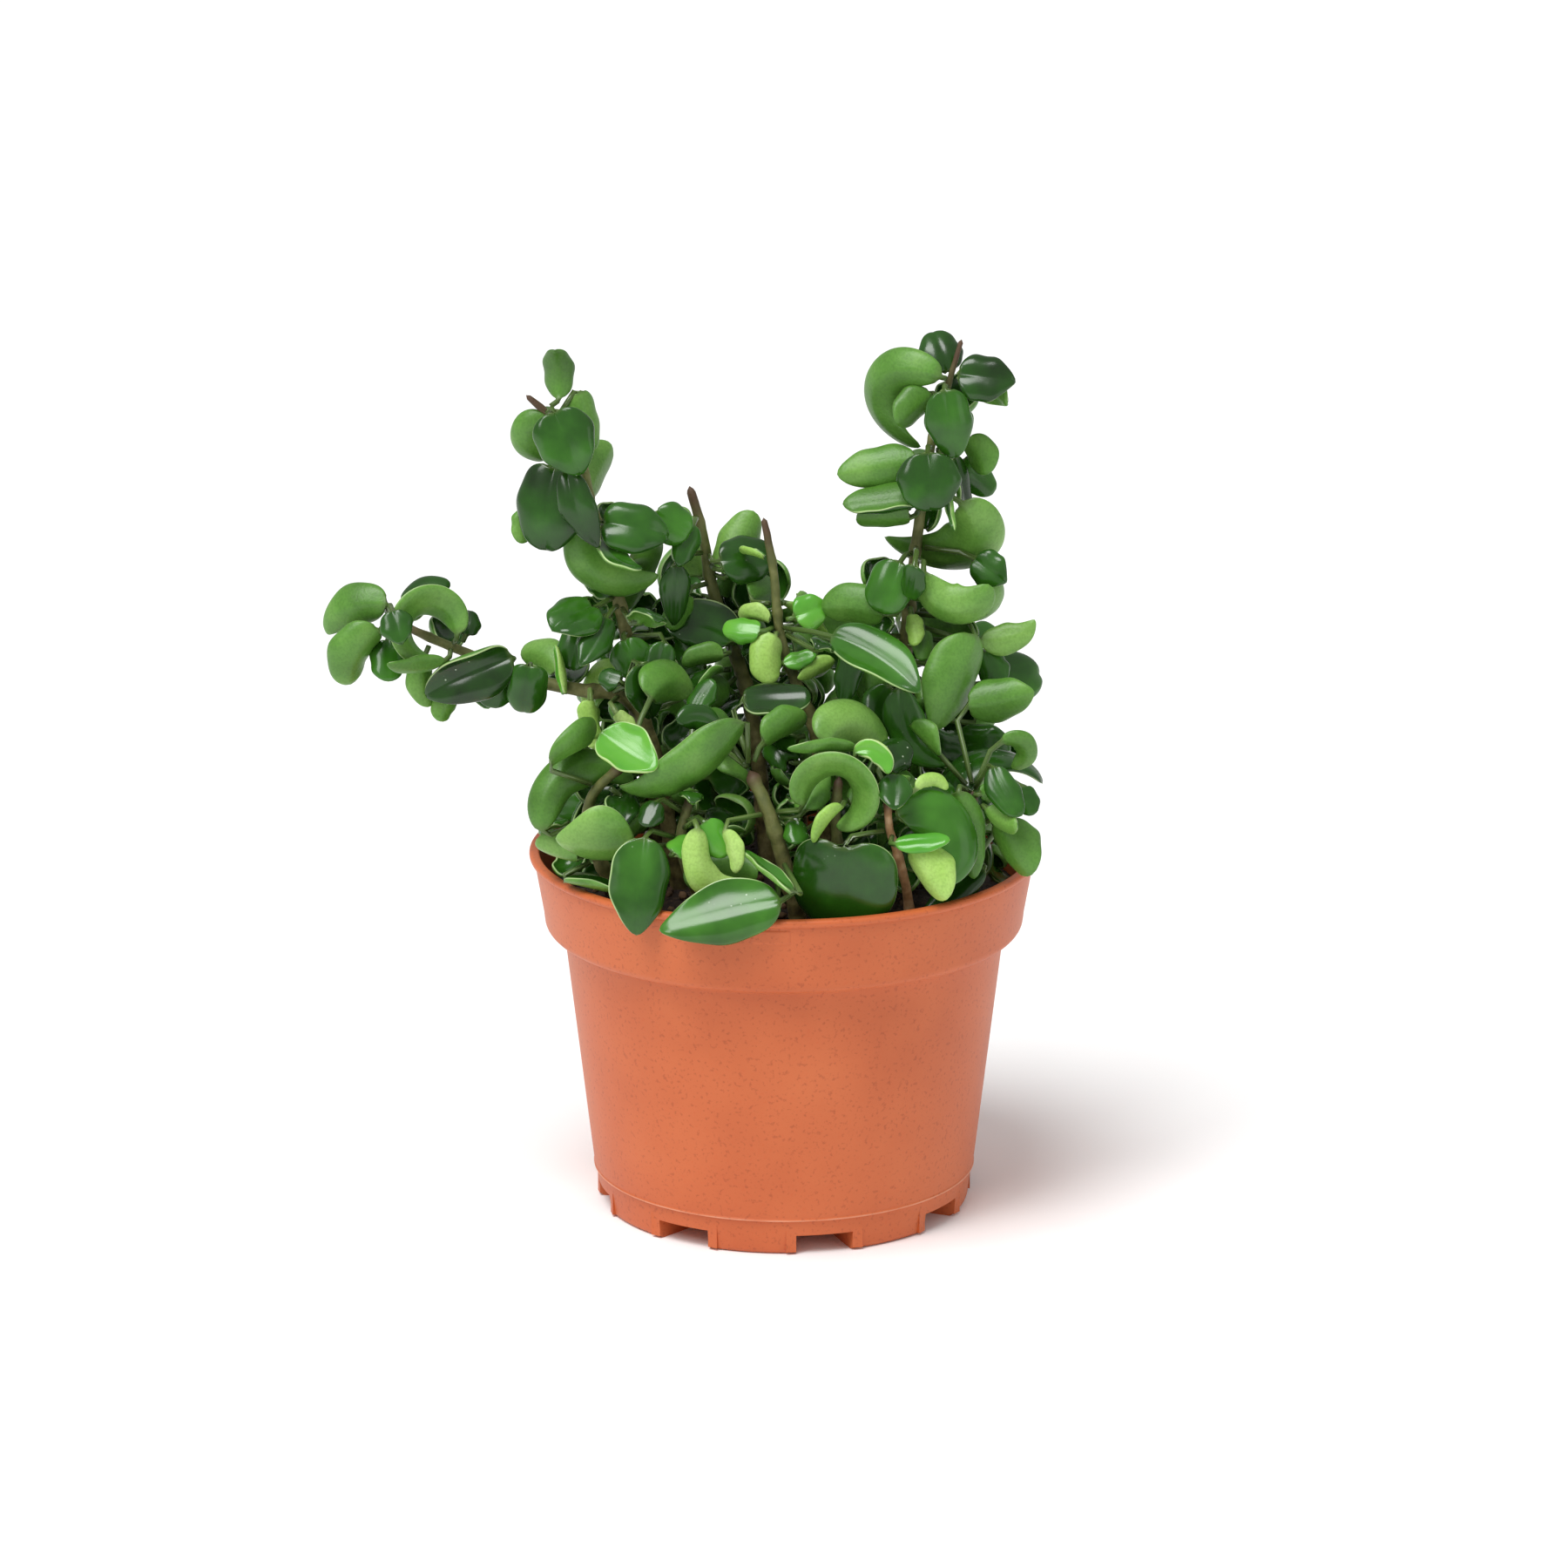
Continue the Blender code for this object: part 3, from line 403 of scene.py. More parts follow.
def makeMix():
    # the mix fills the pot: its top is edge height + dome (1 - (r/edge)^2) + crumbly waves
    random = np.random.default_rng(mix["seed"])
    top = pot["height"] - mix["belowRim"]
    edge = float(innerRadius(top)) - mix["gap"]
    floor = pot["channelHeight"] + pot["wall"] + mix["gap"]
    wall = [(float(innerRadius(floor)) - mix["gap"], floor),
            (float(innerRadius(stepHeight)) - mix["gap"], stepHeight),
            (float(innerRadius(stepHeight + 3)) - mix["gap"] - 0.3, stepHeight + 4.4), (edge, top - 0.4)]
    share = np.linspace(0.995, 0.02, mix["rings"])
    surface = np.column_stack([edge * share, top + mix["dome"] * (1 - share ** 2)])
    section = np.vstack([[(0, floor)], wall, surface, [(0, top + mix["dome"])]])
    points, faces = turnedSurface(section, mix["around"])
    bed = points[:, 2] > (top - 1) * mm
    radius = np.linalg.norm(points[:, :2], axis=1)
    bump = waves(points, 3, 0.012, 0.0009) + waves(points, 4, 0.004, 0.0006)
    points[:, 2] += np.where(bed, bump * np.clip((edge * mm - radius) / 0.004, 0, 1), 0)
    made = [points]
    crumbs = [np.zeros(len(points))]
    start = len(points)
    icosahedron = np.array([(-1, t / 1.618, 0) for t in (-1, 1)] + [(1, t / 1.618, 0) for t in (-1, 1)]
                            + [(0, -1, t / 1.618) for t in (-1, 1)] + [(0, 1, t / 1.618) for t in (-1, 1)]
                            + [(t / 1.618, 0, -1) for t in (-1, 1)] + [(t / 1.618, 0, 1) for t in (-1, 1)])
    hull = bpy.data.meshes.new("chip")
    hull.from_pydata(icosahedron.tolist(), [], [])
    shape = bmesh.new()
    shape.from_mesh(hull)
    bmesh.ops.convex_hull(shape, input=shape.verts)
    sides = [tuple(vertex.index for vertex in face.verts) for face in shape.faces]
    shape.free()
    bpy.data.meshes.remove(hull)
    for _ in range(mix["chips"]):
        size = random.uniform(*mix["chipSize"]) * mm / 2
        turn, out = random.uniform(0, 2 * np.pi), (edge - 3) * mm * math.sqrt(random.uniform(0, 1))
        spin = np.linalg.qr(random.normal(size=(3, 3)))[0]
        spin *= np.sign(np.linalg.det(spin))
        chip = (icosahedron * random.uniform(0.4, 1.0, 3) * size) @ spin
        height = (top + mix["dome"] * (1 - (out / (edge * mm)) ** 2)) * mm + size * 0.35
        made.append(chip + (out * math.cos(turn), out * math.sin(turn), height))
        crumbs.append(np.full(len(chip), random.uniform(0.01, 1.0)))
        faces += [tuple(start + i for i in side) for side in sides]
        start += len(chip)
    bed = makeObject("peatMix", np.vstack(made), faces, peatMix(), {"crumb": np.concatenate(crumbs)})
    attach(bed, "root")
    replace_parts(bed, "soil")


makeMix()
print("potting mix made")


stem = {"steps": 12, "sides": 20, "joint": 23.0, "swell": 0.2, "bark": "6f6538", "barkDark": "43381f",
        "barkPale": "978c5e", "tip": "4f3426", "green": "5f6f35",
        "dry": "b5895c", "dryDark": "87633f", "dryPale": "d3ae84"}
stems = {
    "stem_left_low": ([(-30, -4, 88), (-33, -5, 108), (-38, -6, 138), (-46, -6, 156), (-60, -6, 159),
                       (-70, -6, 161), (-80, -5, 164), (-92, -4, 169), (-104, -3, 174),
                       (-117, -2, 180)], 2.7, 1.1),
    "stem_left_tall": ([(-34, 10, 88), (-38, 9, 112), (-43, 7, 140), (-46, 6, 168), (-49, 5, 184),
                        (-52, 5, 199), (-57, 5, 213), (-59, 5, 224), (-65, 4, 236),
                        (-75.5, 3, 246)], 2.6, 0.9),
    "stem_mid_bare": ([(-4, 14, 88), (-6, 16, 112), (-9, 18, 142), (-14, 18, 162), (-19, 18, 176),
                       (-22, 18, 187), (-24, 18, 200), (-28, 18, 215)], 2.7, 1.3),
    "stem_mid_young": ([(14, 2, 88), (12, 1, 118), (9, -1, 146), (4, -1, 159), (-1, -1, 174),
                        (-3, -1, 193), (-5, -1, 205), (-6, -1, 210)], 2.2, 0.9),
    "stem_right_tall": ([(33, 8, 88), (34, 8, 112), (36, 8, 140), (36, 7, 165), (37, 6, 180),
                         (39, 6, 200), (42, 6, 222), (44.5, 6, 237), (48, 6, 248),
                         (52, 6, 262)], 2.9, 0.7),
    "stem_front_woody": ([(6, -40, 88), (3, -46, 106), (-1, -48, 122), (-5, -48, 135),
                          (-10, -44, 145)], 2.7, 1.8),
    "stem_front_stub": ([(38, -40, 88), (36, -46, 108), (33, -51, 122), (30.5, -52, 130),
                         (30, -52, 139)], 1.5, 1.1),
    "stem_left_short": ([(-44, -28, 88), (-50, -35, 106), (-56, -38, 122), (-56, -40, 136),
                         (-46, -42, 147)], 2.3, 1.3),
    "stem_front_left": ([(-22, -34, 88), (-24, -42, 104), (-28, -47, 116), (-30, -48, 126),
                         (-27, -44, 138)], 2.3, 1.3),
    "stem_front_middle": ([(17, -30, 88), (17, -36, 104), (16, -41, 118), (15, -43, 131),
                           (16, -40, 142)], 2.3, 1.3),
    "stem_right_short": ([(50, -28, 88), (54, -33, 106), (57, -36, 120), (56, -36, 128),
                          (55, -34, 136)], 2.3, 1.3),
    "stem_back": ([(6, 44, 88), (4, 47, 112), (0, 48, 134), (-6, 47, 154), (-8, 45, 168)], 2.5, 1.2),
}


def smoothPath(points, steps):
    # Catmull-Rom curve through the points
    ends = np.vstack([2 * points[0] - points[1], points, 2 * points[-1] - points[-2]])
    share = np.linspace(0, 1, steps, endpoint=False)[:, None]
    parts = []
    for before, start, end, after in zip(ends, ends[1:], ends[2:], ends[3:]):
        bow = (2 * before - 5 * start + 4 * end - after) * share ** 2
        hook = (3 * start - before - 3 * end + after) * share ** 3
        parts.append(start + 0.5 * ((end - before) * share + bow + hook))
    return np.vstack(parts + [points[-1:]])


def stemPath(name, steps):
    # a stem's centre line in metres, and its radii, an even taper
    points, thick, thin = stems[name]
    path = smoothPath(np.array(points, float) * mm, steps)
    return path, np.linspace(thick, thin, len(path)) * mm


def unit(vector):
    # v / |v|
    return vector / np.linalg.norm(vector)


def tube(path, radii, sides):
    # rings round a path: centre + r (cos a across + sin a other), carried along without twist
    along = np.gradient(path, axis=0)
    along /= np.linalg.norm(along, axis=1)[:, None]
    across = np.cross(along[0], (0.31, 0.95, 0.05))
    angles = 2 * np.pi * np.arange(sides) / sides
    rings = []
    for point, direction, radius in zip(path, along, radii):
        across = unit(across - direction * np.dot(across, direction))
        other = np.cross(direction, across)
        rings.append(point + radius * (np.cos(angles)[:, None] * across + np.sin(angles)[:, None] * other))
    return np.array(rings)


def barkSkin(name, tones, greenShare):
    # thin young bark over green wood: olive brown, dry and slightly ridged, darker towards the tip
    material, shader = newMaterial(name)
    place = addNode(material, "TexCoord")
    patch = addNode(material, "TexNoise", Vector=(place, "Object"), Scale=260.0, Detail=5.0)
    tone = ramp(material, (patch, 0), [(0.3, tones[0]), (0.5, tones[1]), (0.7, tones[2])])
    fine = addNode(material, "TexNoise", Vector=(place, "Object"), Scale=1500.0, Detail=3.0)
    end = addNode(material, "Attribute", {"attribute_name": "tipShare"})
    fresh = addNode(material, "MapRange", Value=(end, 2),
                    in1=0.25, in2=0.7, in3=0.0, in4=greenShare)
    greened = mixed(material, (fresh, 0), (tone, 0), linear(stem["green"]))
    last = addNode(material, "MapRange", Value=(end, 2), in1=0.9, in2=0.97, in3=0.0, in4=0.9)
    final = mixed(material, (last, 0), (greened, 2), linear(stem["tip"]))
    join(material, final, 2, shader, "Base Color")
    shader.inputs["Roughness"].default_value = 0.62
    bump = addNode(material, "Bump", Height=(fine, 0), Strength=0.5, Distance=0.0003)
    join(material, bump, 0, shader, "Normal")
    return material


def makeStem(name, bark, seed):
    # radius = taper (1 + swell at each joint + fine ridges); the joints start 23 mm apart and close
    # up towards the rounded tip
    path, radii = stemPath(name, stem["steps"])
    length = np.concatenate([[0], np.cumsum(np.linalg.norm(np.diff(path, axis=0), axis=1))])
    even = np.linspace(0, length[-1], int(length[-1] / 0.0009))
    path = np.column_stack([np.interp(even, length, path[:, axis]) for axis in range(3)])
    radii = np.interp(even, length, radii)
    step = stem["joint"] * mm * np.clip(1 - 0.35 * even / even[-1], 0.5, 1)
    phase = np.cumsum(np.gradient(even) / step) + 0.37 * seed
    near = np.abs((phase + 0.5) % 1 - 0.5) * step
    swell = stem["swell"] * np.exp(-(near / 0.0016) ** 2)
    tipEnd = np.sqrt(np.clip((even[-1] - even) / (1.2 * radii[-1]), 0.02, 1))
    rings = tube(path, radii * (1 + swell) * tipEnd, stem["sides"])
    centre = path[:, None]
    ridge = 1 + waves(rings.reshape(-1, 3), 30 + seed, 0.0035, 0.05).reshape(rings.shape[:2])[..., None]
    rings = centre + (rings - centre) * ridge
    count, sides = rings.shape[:2]
    points = np.vstack([rings.reshape(-1, 3), path[:1], path[-1:] + (path[-1:] - path[-2:-1]) * 0.2])
    faces = gridFaces(count, sides, closed=True).tolist()
    faces += [((i + 1) % sides, i, count * sides) for i in range(sides)]
    last = (count - 1) * sides
    faces += [(last + i, last + (i + 1) % sides, count * sides + 1) for i in range(sides)]
    tipShare = np.concatenate([np.repeat(even / even[-1], sides), [0, 1]])
    made = makeObject(name + "Twig", points, faces, bark, {"tipShare": tipShare})
    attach(made, "root")
    if name in frame["nodes"]:
        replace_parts(made, name)
    return made


bark = barkSkin("hoya bark", (stem["barkDark"], stem["bark"], stem["barkPale"]), 0.55)
dryStalk = barkSkin("dry flower stalk", (stem["dryDark"], stem["dry"], stem["dryPale"]), 0.0)
stemPieces = [makeStem(name, dryStalk if name == "stem_front_stub" else bark, order)
              for order, name in enumerate(stems)]
print("stems made:", len(stemPieces))


leafShape = {"thickness": 1.5, "plump": 1.16, "roll": 48, "open": 20, "openFold": 12,
             "foldGain": 1.5, "curlGain": 1.2, "stalk": 0.8, "longestStalk": 26, "steps": 48,
             "columns": 27, "gap": 0.4, "ruffle": 0.45, "groove": 0.28, "ribWidth": 0.9,
             "creaseRadius": 2.2, "lobeReach": 4.2, "openFacing": 0.3, "openLean": 0.3, "slices": 12}
# how a leaf looks for room: tries per round, and each round's turn (degrees), shift (mm) and shrink;
# most tries of an added and of a CAD leaf, and how near a CAD leaf's box has to be (metres)
settling = {"perRound": 10, "turn": 3, "shift": 0.5, "shrink": 0.018, "tries": 160, "cadTries": 400,
            "match": 1e-4}
cadStations = (0, 5, 11, 17, 24, 30, 36, 42, 46)
cadColumns = np.array((-12, -7, 0, 7, 12)) / 12
fineColumns = np.sin(np.linspace(-1, 1, leafShape["columns"]) * np.pi / 2)

rows = []


def leaf(name, base, grow, face, size, **shape):
    # one leaf: where its blade starts (mm), the compass way and rise of its midrib and of its
    # glossy side, (length, width), and the curls in degrees: bend along the midrib, sway to the
    # right, curl of each half, fold at the midrib; lobes (mm) reach back past the base
    rows.append(dict(name="leaf_" + name, base=base, grow=grow, face=face, size=size, **shape))


# The tall vine on the left.
leaf("left_tall_1", (-66, 4, 245), (150, 86), (85, -10), (15, 12), bend=-20, fold=28)
leaf("left_tall_2", (-67, -6, 243), (325, -62), (262, 25), (20, 18), bend=(0, -25), fold=25,
     curl=-50, lobes=1, point=1)
leaf("left_tall_3", (-67, 2, 243), (190, 10), (75, 10), (25, 14), bend=(20, 20, 20), sway=(60, 60, 40),
     curl=35)
leaf("left_tall_4", (-59, 8, 214), (50, 50), (130, -30), (21, 15), bend=20, sway=-20, curl=30)
leaf("left_tall_5", (-67, 0, 225), (240, -70), (250, 20), (25, 21), bend=(-5, -25), fold=15,
     curl=(-45, -40), lobes=2)
leaf("left_tall_7", (-53, -4, 209), (350, -5), (275, 30), (20, 16), bend=(-10, -35), fold=25,
     curl=(-60, -50), lobes=1, point=1)
leaf("left_tall_8", (-62, 0, 209), (262, -86), (70, 5), (38, 15), bend=(12, 12, 12), sway=(45, 45, 30),
     curl=40, point=1)
leaf("left_tall_9", (-58, -7, 190), (215, -40), (262, 15), (19, 19), bend=-15, fold=20, curl=(-45, -50),
     lobes=1)
leaf("left_tall_11", (-45, 0, 197), (20, 20), (100, 20), (37, 15), bend=10, sway=(-100, -10, 0), curl=25,
     point=0.3)
leaf("left_tall_6", (-64, -5, 226), (300, -62), (250, 10), (26, 11), bend=(-10, -30, 30), sway=-15,
     fold=15, curl=(-40, -30), point=1)
leaf("left_tall_10", (-55, -8, 189), (262, -83), (280, 8), (24, 12), bend=-10, sway=10, fold=15,
     curl=(-45, -40), point=1)
leaf("left_tall_12", (-60, 6, 246), (320, -70), (95, 0), (19, 13), bend=20, curl=40)
leaf("left_tall_13", (-74, 3, 212), (235, -60), (90, 0), (12, 9), bend=20, curl=30)
leaf("left_tall_14", (-55, -3, 208), (300, -50), (275, 50), (20, 9), bend=10, sway=(-25, -30, -20),
     curl=20, point=1)
leaf("left_tall_15", (-60, -2, 177), (240, -60), (255, 10), (13, 11), bend=-20, fold=15, curl=-40)
leaf("left_tall_16", (-32, 3, 195), (265, -85), (285, 5), (19, 9), bend=-15, fold=15, curl=-40, point=1)
leaf("left_tall_17", (-47, -5, 174), (310, -55), (270, 20), (12, 12), bend=-30, fold=20, curl=-50)
leaf("left_tall_18", (-37, -6, 176), (250, -80), (280, 10), (16, 10), bend=-10, fold=15, curl=-35, point=1)
# The low vine that leans out to the left.
leaf("left_low_1", (-117, -5, 185), (178, 8), (85, -30), (26, 15), bend=(15, 20, 25), sway=(20, 25, 25),
     curl=30, point=1)
leaf("left_low_2", (-119, -9, 178), (205, -35), (85, 15), (22, 17), bend=25, sway=(20, 30, 30), curl=45)
leaf("left_low_4", (-96, -9, 177), (80, 75), (45, 0), (38, 12), bend=(-60, -70, -60), sway=(60, 70, 60))
leaf("left_low_5", (-80, -10, 170), (194, -18), (272, 25), (29, 17), bend=(-10, -30), fold=12,
     curl=(-40, 60), point=1)
leaf("left_low_7", (-76, -12, 169.5), (275, -82), (272, 18), (17, 14), bend=(-20, -40), fold=10, curl=-60,
     lobes=1)
leaf("left_low_8", (-67, -4, 164), (125, 50), (85, -20), (17, 13), bend=20, sway=(40, 40), curl=40)
leaf("left_low_3", (-119.5, -14, 184), (335, -25), (275, 40), (13, 12), bend=-10, fold=10, curl=-35,
     point=1)
leaf("left_low_6", (-106, -6, 169), (240, -70), (100, 0), (15, 10), sway=(20, 20), curl=40)
leaf("left_low_9", (-48, -8, 163), (120, 50), (90, 10), (23, 8), bend=20, sway=(50, 60, 40), curl=30,
     young=1)
leaf("left_low_10", (-97, -15, 175), (190, -14), (80, 50), (23, 9), bend=(10, 20), sway=(-20, -20),
     curl=20, point=1)
leaf("left_low_11", (-98, -8, 159), (215, -50), (90, 0), (11, 10), sway=30, curl=50)
leaf("left_low_12", (-85, -8, 164), (245, -70), (265, 10), (10, 12), bend=-30, curl=-45)
leaf("left_low_13", (-82, -9, 156), (345, -20), (90, 40), (12, 8), sway=20, curl=40)
leaf("left_low_14", (-94, -3, 175), (70, 60), (270, 10), (8, 8), bend=-20, curl=-45)
leaf("left_low_15", (-66, -9, 158), (100, 70), (200, 10), (16, 6), bend=30, curl=50, young=1)
leaf("left_low_16", (-56, -9, 155), (250, -60), (90, 0), (13, 8), sway=30, curl=60, young=1)
leaf("left_low_17", (-111, -3, 184), (60, 40), (265, 30), (16, 9), bend=-10, sway=(30, 50), curl=-30)
leaf("left_low_18", (-118, -4, 176), (290, -60), (280, 10), (14, 12), bend=-20, curl=-40)
# The bare twig and the young twig in the middle.
leaf("mid_bare_1", (-27, 14, 205), (130, 50), (80, -30), (18, 12), bend=20, sway=(40, 50), curl=30)
leaf("mid_bare_2", (-20, 14, 190), (72, 78), (85, -10), (24, 18), bend=15, curl=45)
leaf("mid_bare_3", (-38, 4, 210), (340, -25), (270, 20), (12, 13), bend=-30, fold=10, curl=-50)
leaf("mid_bare_5", (-19, 6, 195), (12, 8), (280, 30), (17, 15), bend=-20, fold=10, curl=(-50, -40))
leaf("mid_bare_6", (-15, 8, 170), (150, 40), (280, 50), (22, 15), bend=-10, sway=(-40, -40),
     curl=(-35, 20))
leaf("mid_young_2", (3, -2, 180), (20, 15), (280, 30), (11, 11), fold=20, curl=-40, young=1, point=1)
leaf("mid_bare_4", (-28, 8, 208), (250, -60), (285, 20), (15, 9), bend=-20, curl=-30, point=1)
leaf("mid_bare_7", (-25, 24, 186), (120, 70), (95, 0), (19, 14), bend=10, curl=40)
leaf("mid_bare_8", (-19, 7, 191.5), (0, -5), (90, 50), (16, 6), sway=5, curl=30)
leaf("mid_bare_9", (-10, 5, 184), (45, 20), (90, 0), (14, 13), bend=20, sway=-40, curl=40)
leaf("mid_bare_10", (-20, 6, 168), (200, -10), (90, 0), (14, 9), sway=30, curl=40)
leaf("mid_bare_11", (-30, 10, 183), (250, -60), (95, 0), (14, 11), bend=10, curl=40)
leaf("mid_bare_12", (-18, 22, 180), (60, 60), (90, 0), (8, 7), curl=40)
leaf("mid_young_1", (-7, -6, 177), (170, 10), (270, 40), (12, 9), bend=-30, curl=-50, young=1)
leaf("mid_young_3", (-4, -5, 177), (235, -55), (80, 10), (16, 13), bend=10, sway=(30, 30), curl=40,
     young=1)
leaf("mid_young_4", (-1, -4, 179.5), (150, 40), (90, 30), (13, 8), sway=(30, 50), curl=30, young=1)
leaf("mid_young_5", (0.5, -4, 182), (325, -38), (80, 40), (21, 7), curl=(20, 30), young=1, point=1)
leaf("mid_young_6", (-4.5, -2, 200), (172, 20), (60, 60), (13, 4.5), sway=(50, 50), curl=40, young=1)
leaf("mid_young_7", (0, -6, 167), (10, 15), (275, 40), (10, 5), curl=-20, young=1)
leaf("mid_young_8", (15, -3, 169), (200, -25), (90, 0), (13, 6), bend=10, curl=25, young=1, point=1)
# The tall vine on the right.
leaf("right_tall_1", (46, 3, 251.5), (180, 27), (90, -20), (50, 15), bend=(30, 30, 20), sway=(50, 80, 60),
     curl=30, point=0.6)
leaf("right_tall_2", (48, 8, 252), (130, 65), (280, 20), (14, 13), bend=-40, fold=10, curl=-45)
leaf("right_tall_3", (51, 3, 252), (355, -5), (278, 30), (17, 15), bend=-5, fold=22, curl=(-60, -50),
     point=1)
leaf("right_tall_4", (47, -3, 249), (305, -72), (278, 10), (21, 15), bend=(-10, -25), fold=12,
     curl=(-60, -55), point=1)
leaf("right_tall_5", (39, 1, 227), (188, -8), (85, -35), (24, 15), bend=20, curl=(35, 30), point=0.6)
leaf("right_tall_6", (42, -7, 231), (275, -70), (265, 15), (17, 18), bend=(-5, -15), fold=20,
     curl=-45)
leaf("right_tall_7", (41, -5, 220), (182, -3), (92, -45), (25, 15), bend=12, curl=(45, -80), point=0.8)
leaf("right_tall_8", (37, -4, 211), (188, -8), (90, 10), (16, 14), bend=20, curl=45)
leaf("right_tall_9", (52, -3, 215), (0, -45), (95, -10), (52, 22), bend=(20, 20, 15), sway=(-70, -60, -25),
     curl=(40, 30), point=1)
leaf("right_tall_10", (53, -4, 223), (235, -57), (275, 15), (29, 13), bend=-5, fold=10, curl=(-35, 30),
     point=1)
leaf("right_tall_11", (34, -9, 198.5), (225, -55), (262, 20), (16, 16), bend=-25, fold=10, curl=(-65, -60))
leaf("right_tall_12", (40, -11, 196), (265, -75), (80, 10), (32, 16), bend=(20, 25, 20), sway=(50, 60, 50),
     curl=(40, 30))
leaf("right_tall_13", (14, -20, 179), (335, -10), (272, 35), (34, 16), sway=(15, 15), fold=12,
     curl=(-30, 15), point=1)
leaf("right_tall_14", (56, -14, 178), (240, -58), (95, 15), (31, 21), bend=(10, 20), curl=25, point=0.7)
leaf("right_tall_15", (58, -6, 174), (0, 0), (90, -20), (18, 9), bend=-10, sway=(10, 50), fold=10, point=1)
leaf("right_tall_16", (30, -10, 184), (170, 20), (85, -10), (21, 15), bend=20, sway=(15, 25), curl=30)
leaf("right_low_1", (54, -20, 158), (350, 8), (90, -20), (20, 17), bend=15, sway=10, curl=(30, 60),
     point=1)
leaf("right_low_2", (34, -22, 164), (262, -80), (268, 15), (29, 12), bend=-5, sway=(-15, -30, -35),
     fold=15, curl=(-45, -35), point=1)
leaf("right_tall_17", (43, 6, 246), (215, -35), (90, 0), (14, 12), bend=10, curl=30)
leaf("right_tall_18", (54, 7, 232), (330, -40), (95, 0), (12, 11), sway=-40, curl=30)
leaf("right_tall_19", (54, 6, 222), (325, -45), (290, 10), (17, 13), bend=-20, curl=-40)
leaf("right_tall_20", (37.5, -10, 197), (265, -75), (275, 10), (14, 10), bend=-15, fold=10,
     curl=(-60, -50))
leaf("right_tall_21", (56, 0, 197), (340, -25), (285, 10), (13, 12), bend=-10, fold=15, curl=-40, point=1)
leaf("right_tall_22", (57, -8, 186), (185, -20), (275, 50), (17, 10), bend=-20, curl=-30)
leaf("right_tall_23", (58, -10, 179), (185, -25), (90, 40), (14, 10), curl=40)
leaf("right_tall_24", (38, -6, 183), (280, -70), (85, 10), (10, 6), curl=30, young=1)
leaf("right_tall_25", (41, -8, 177), (255, -70), (90, 10), (10, 7), curl=30)
leaf("right_tall_26", (54, -5, 225), (222, -33), (120, 50), (27, 6), curl=(40, 30), point=1)
leaf("right_low_3", (59, -4, 170), (320, -50), (275, 10), (11, 10), bend=-10, curl=-40)
leaf("right_low_4", (63, -26, 148), (30, 20), (90, 0), (22, 9), sway=(-60, -70, -60), curl=30)
leaf("right_low_5", (18, -8, 173), (300, -78), (265, 10), (20, 9), fold=10, curl=-40, point=1)
leaf("right_low_6", (24, -6, 171), (290, -75), (90, 0), (21, 12), bend=10, curl=30, point=1)
leaf("right_low_7", (31, -14, 162), (210, -40), (270, 10), (15, 10), sway=-60, curl=-30)
leaf("right_low_8", (37, -27, 154), (330, -35), (90, 20), (14, 12), bend=10, curl=30, point=1)
leaf("right_low_9", (38, -18, 155), (350, 5), (90, 20), (12, 8), curl=50)
leaf("right_low_10", (54, -16, 161), (290, -75), (90, 0), (13, 10), bend=10, curl=20)
# The mound over the rim.
leaf("mound_left_1", (-69, -46, 127), (160, 84), (53, 0), (46, 15), bend=(30, 30, 30),
     sway=(-40, -50, -40), curl=35)
leaf("mound_left_7", (-66, -50, 147), (350, 20), (90, 30), (30, 18), bend=(10, 20, 30),
     sway=(-40, -50, -40), curl=(45, 50))
leaf("mound_left_3", (-12, -48, 161), (215, -50), (65, 45), (47, 20), bend=(15, 30, 50),
     curl=(30, 20), point=1)
leaf("mound_left_4", (-43, -52, 124), (183, -3), (80, 15), (24, 25), bend=(10, 20), curl=15, point=1)
leaf("mound_left_5", (-41, -61, 131), (262, -74), (255, 20), (30, 18), bend=(-10, -10), fold=8,
     curl=(-55, 15), point=0.8)
leaf("mound_left_6", (-25, -62, 133), (262, -75), (88, 20), (30, 10), bend=10, sway=(10, 60, 50), curl=30,
     young=1)
leaf("mound_front_1", (-1, -75, 115), (186, -10), (268, 45), (36, 18), bend=(-5, -5), curl=(-50, 10),
     point=1)
leaf("mound_front_2", (17, -60, 126.5), (272, -76), (270, 18), (29, 33), bend=(-10, -15), fold=6, curl=-24,
     lobes=4)
leaf("mound_front_3", (7, -55, 136), (100, 80), (135, 0), (46, 14), bend=(-60, -70, -60),
     sway=(-60, -70, -60))
leaf("mound_right_2", (33, -54, 134), (20, 30), (268, 20), (34, 18), bend=-15, sway=(60, 70, 30), fold=5,
     curl=(-40, -45))
leaf("mound_right_6", (37, -60, 126), (305, -50), (88, 20), (18, 18), bend=35, curl=55, young=1)
leaf("mound_right_3", (51, -47, 138), (292, -75), (88, 5), (29, 13), bend=5, curl=(20, 25), point=0.7)
leaf("mound_right_4", (62, -42, 129), (300, -50), (85, 15), (19, 19), bend=(20, 20), curl=55)
leaf("mound_right_5", (48, -34, 131), (100, 80), (230, 20), (50, 17), bend=(-35, -45, -45),
     sway=(25, 35, 35), curl=-20)
leaf("mound_centre_1", (-42, -27, 168), (268, -62), (268, 25), (22, 18), bend=(-5, -20), fold=18,
     curl=-40, lobes=1, point=0.8)
leaf("mound_centre_2", (-12, -28, 162), (8, -5), (270, 45), (20, 15), bend=(10, 10), curl=(-35, 35))
leaf("mound_centre_3", (12, -44, 153), (50, 50), (88, 10), (29, 18), bend=15, sway=(-40, -50, -20),
     curl=40)
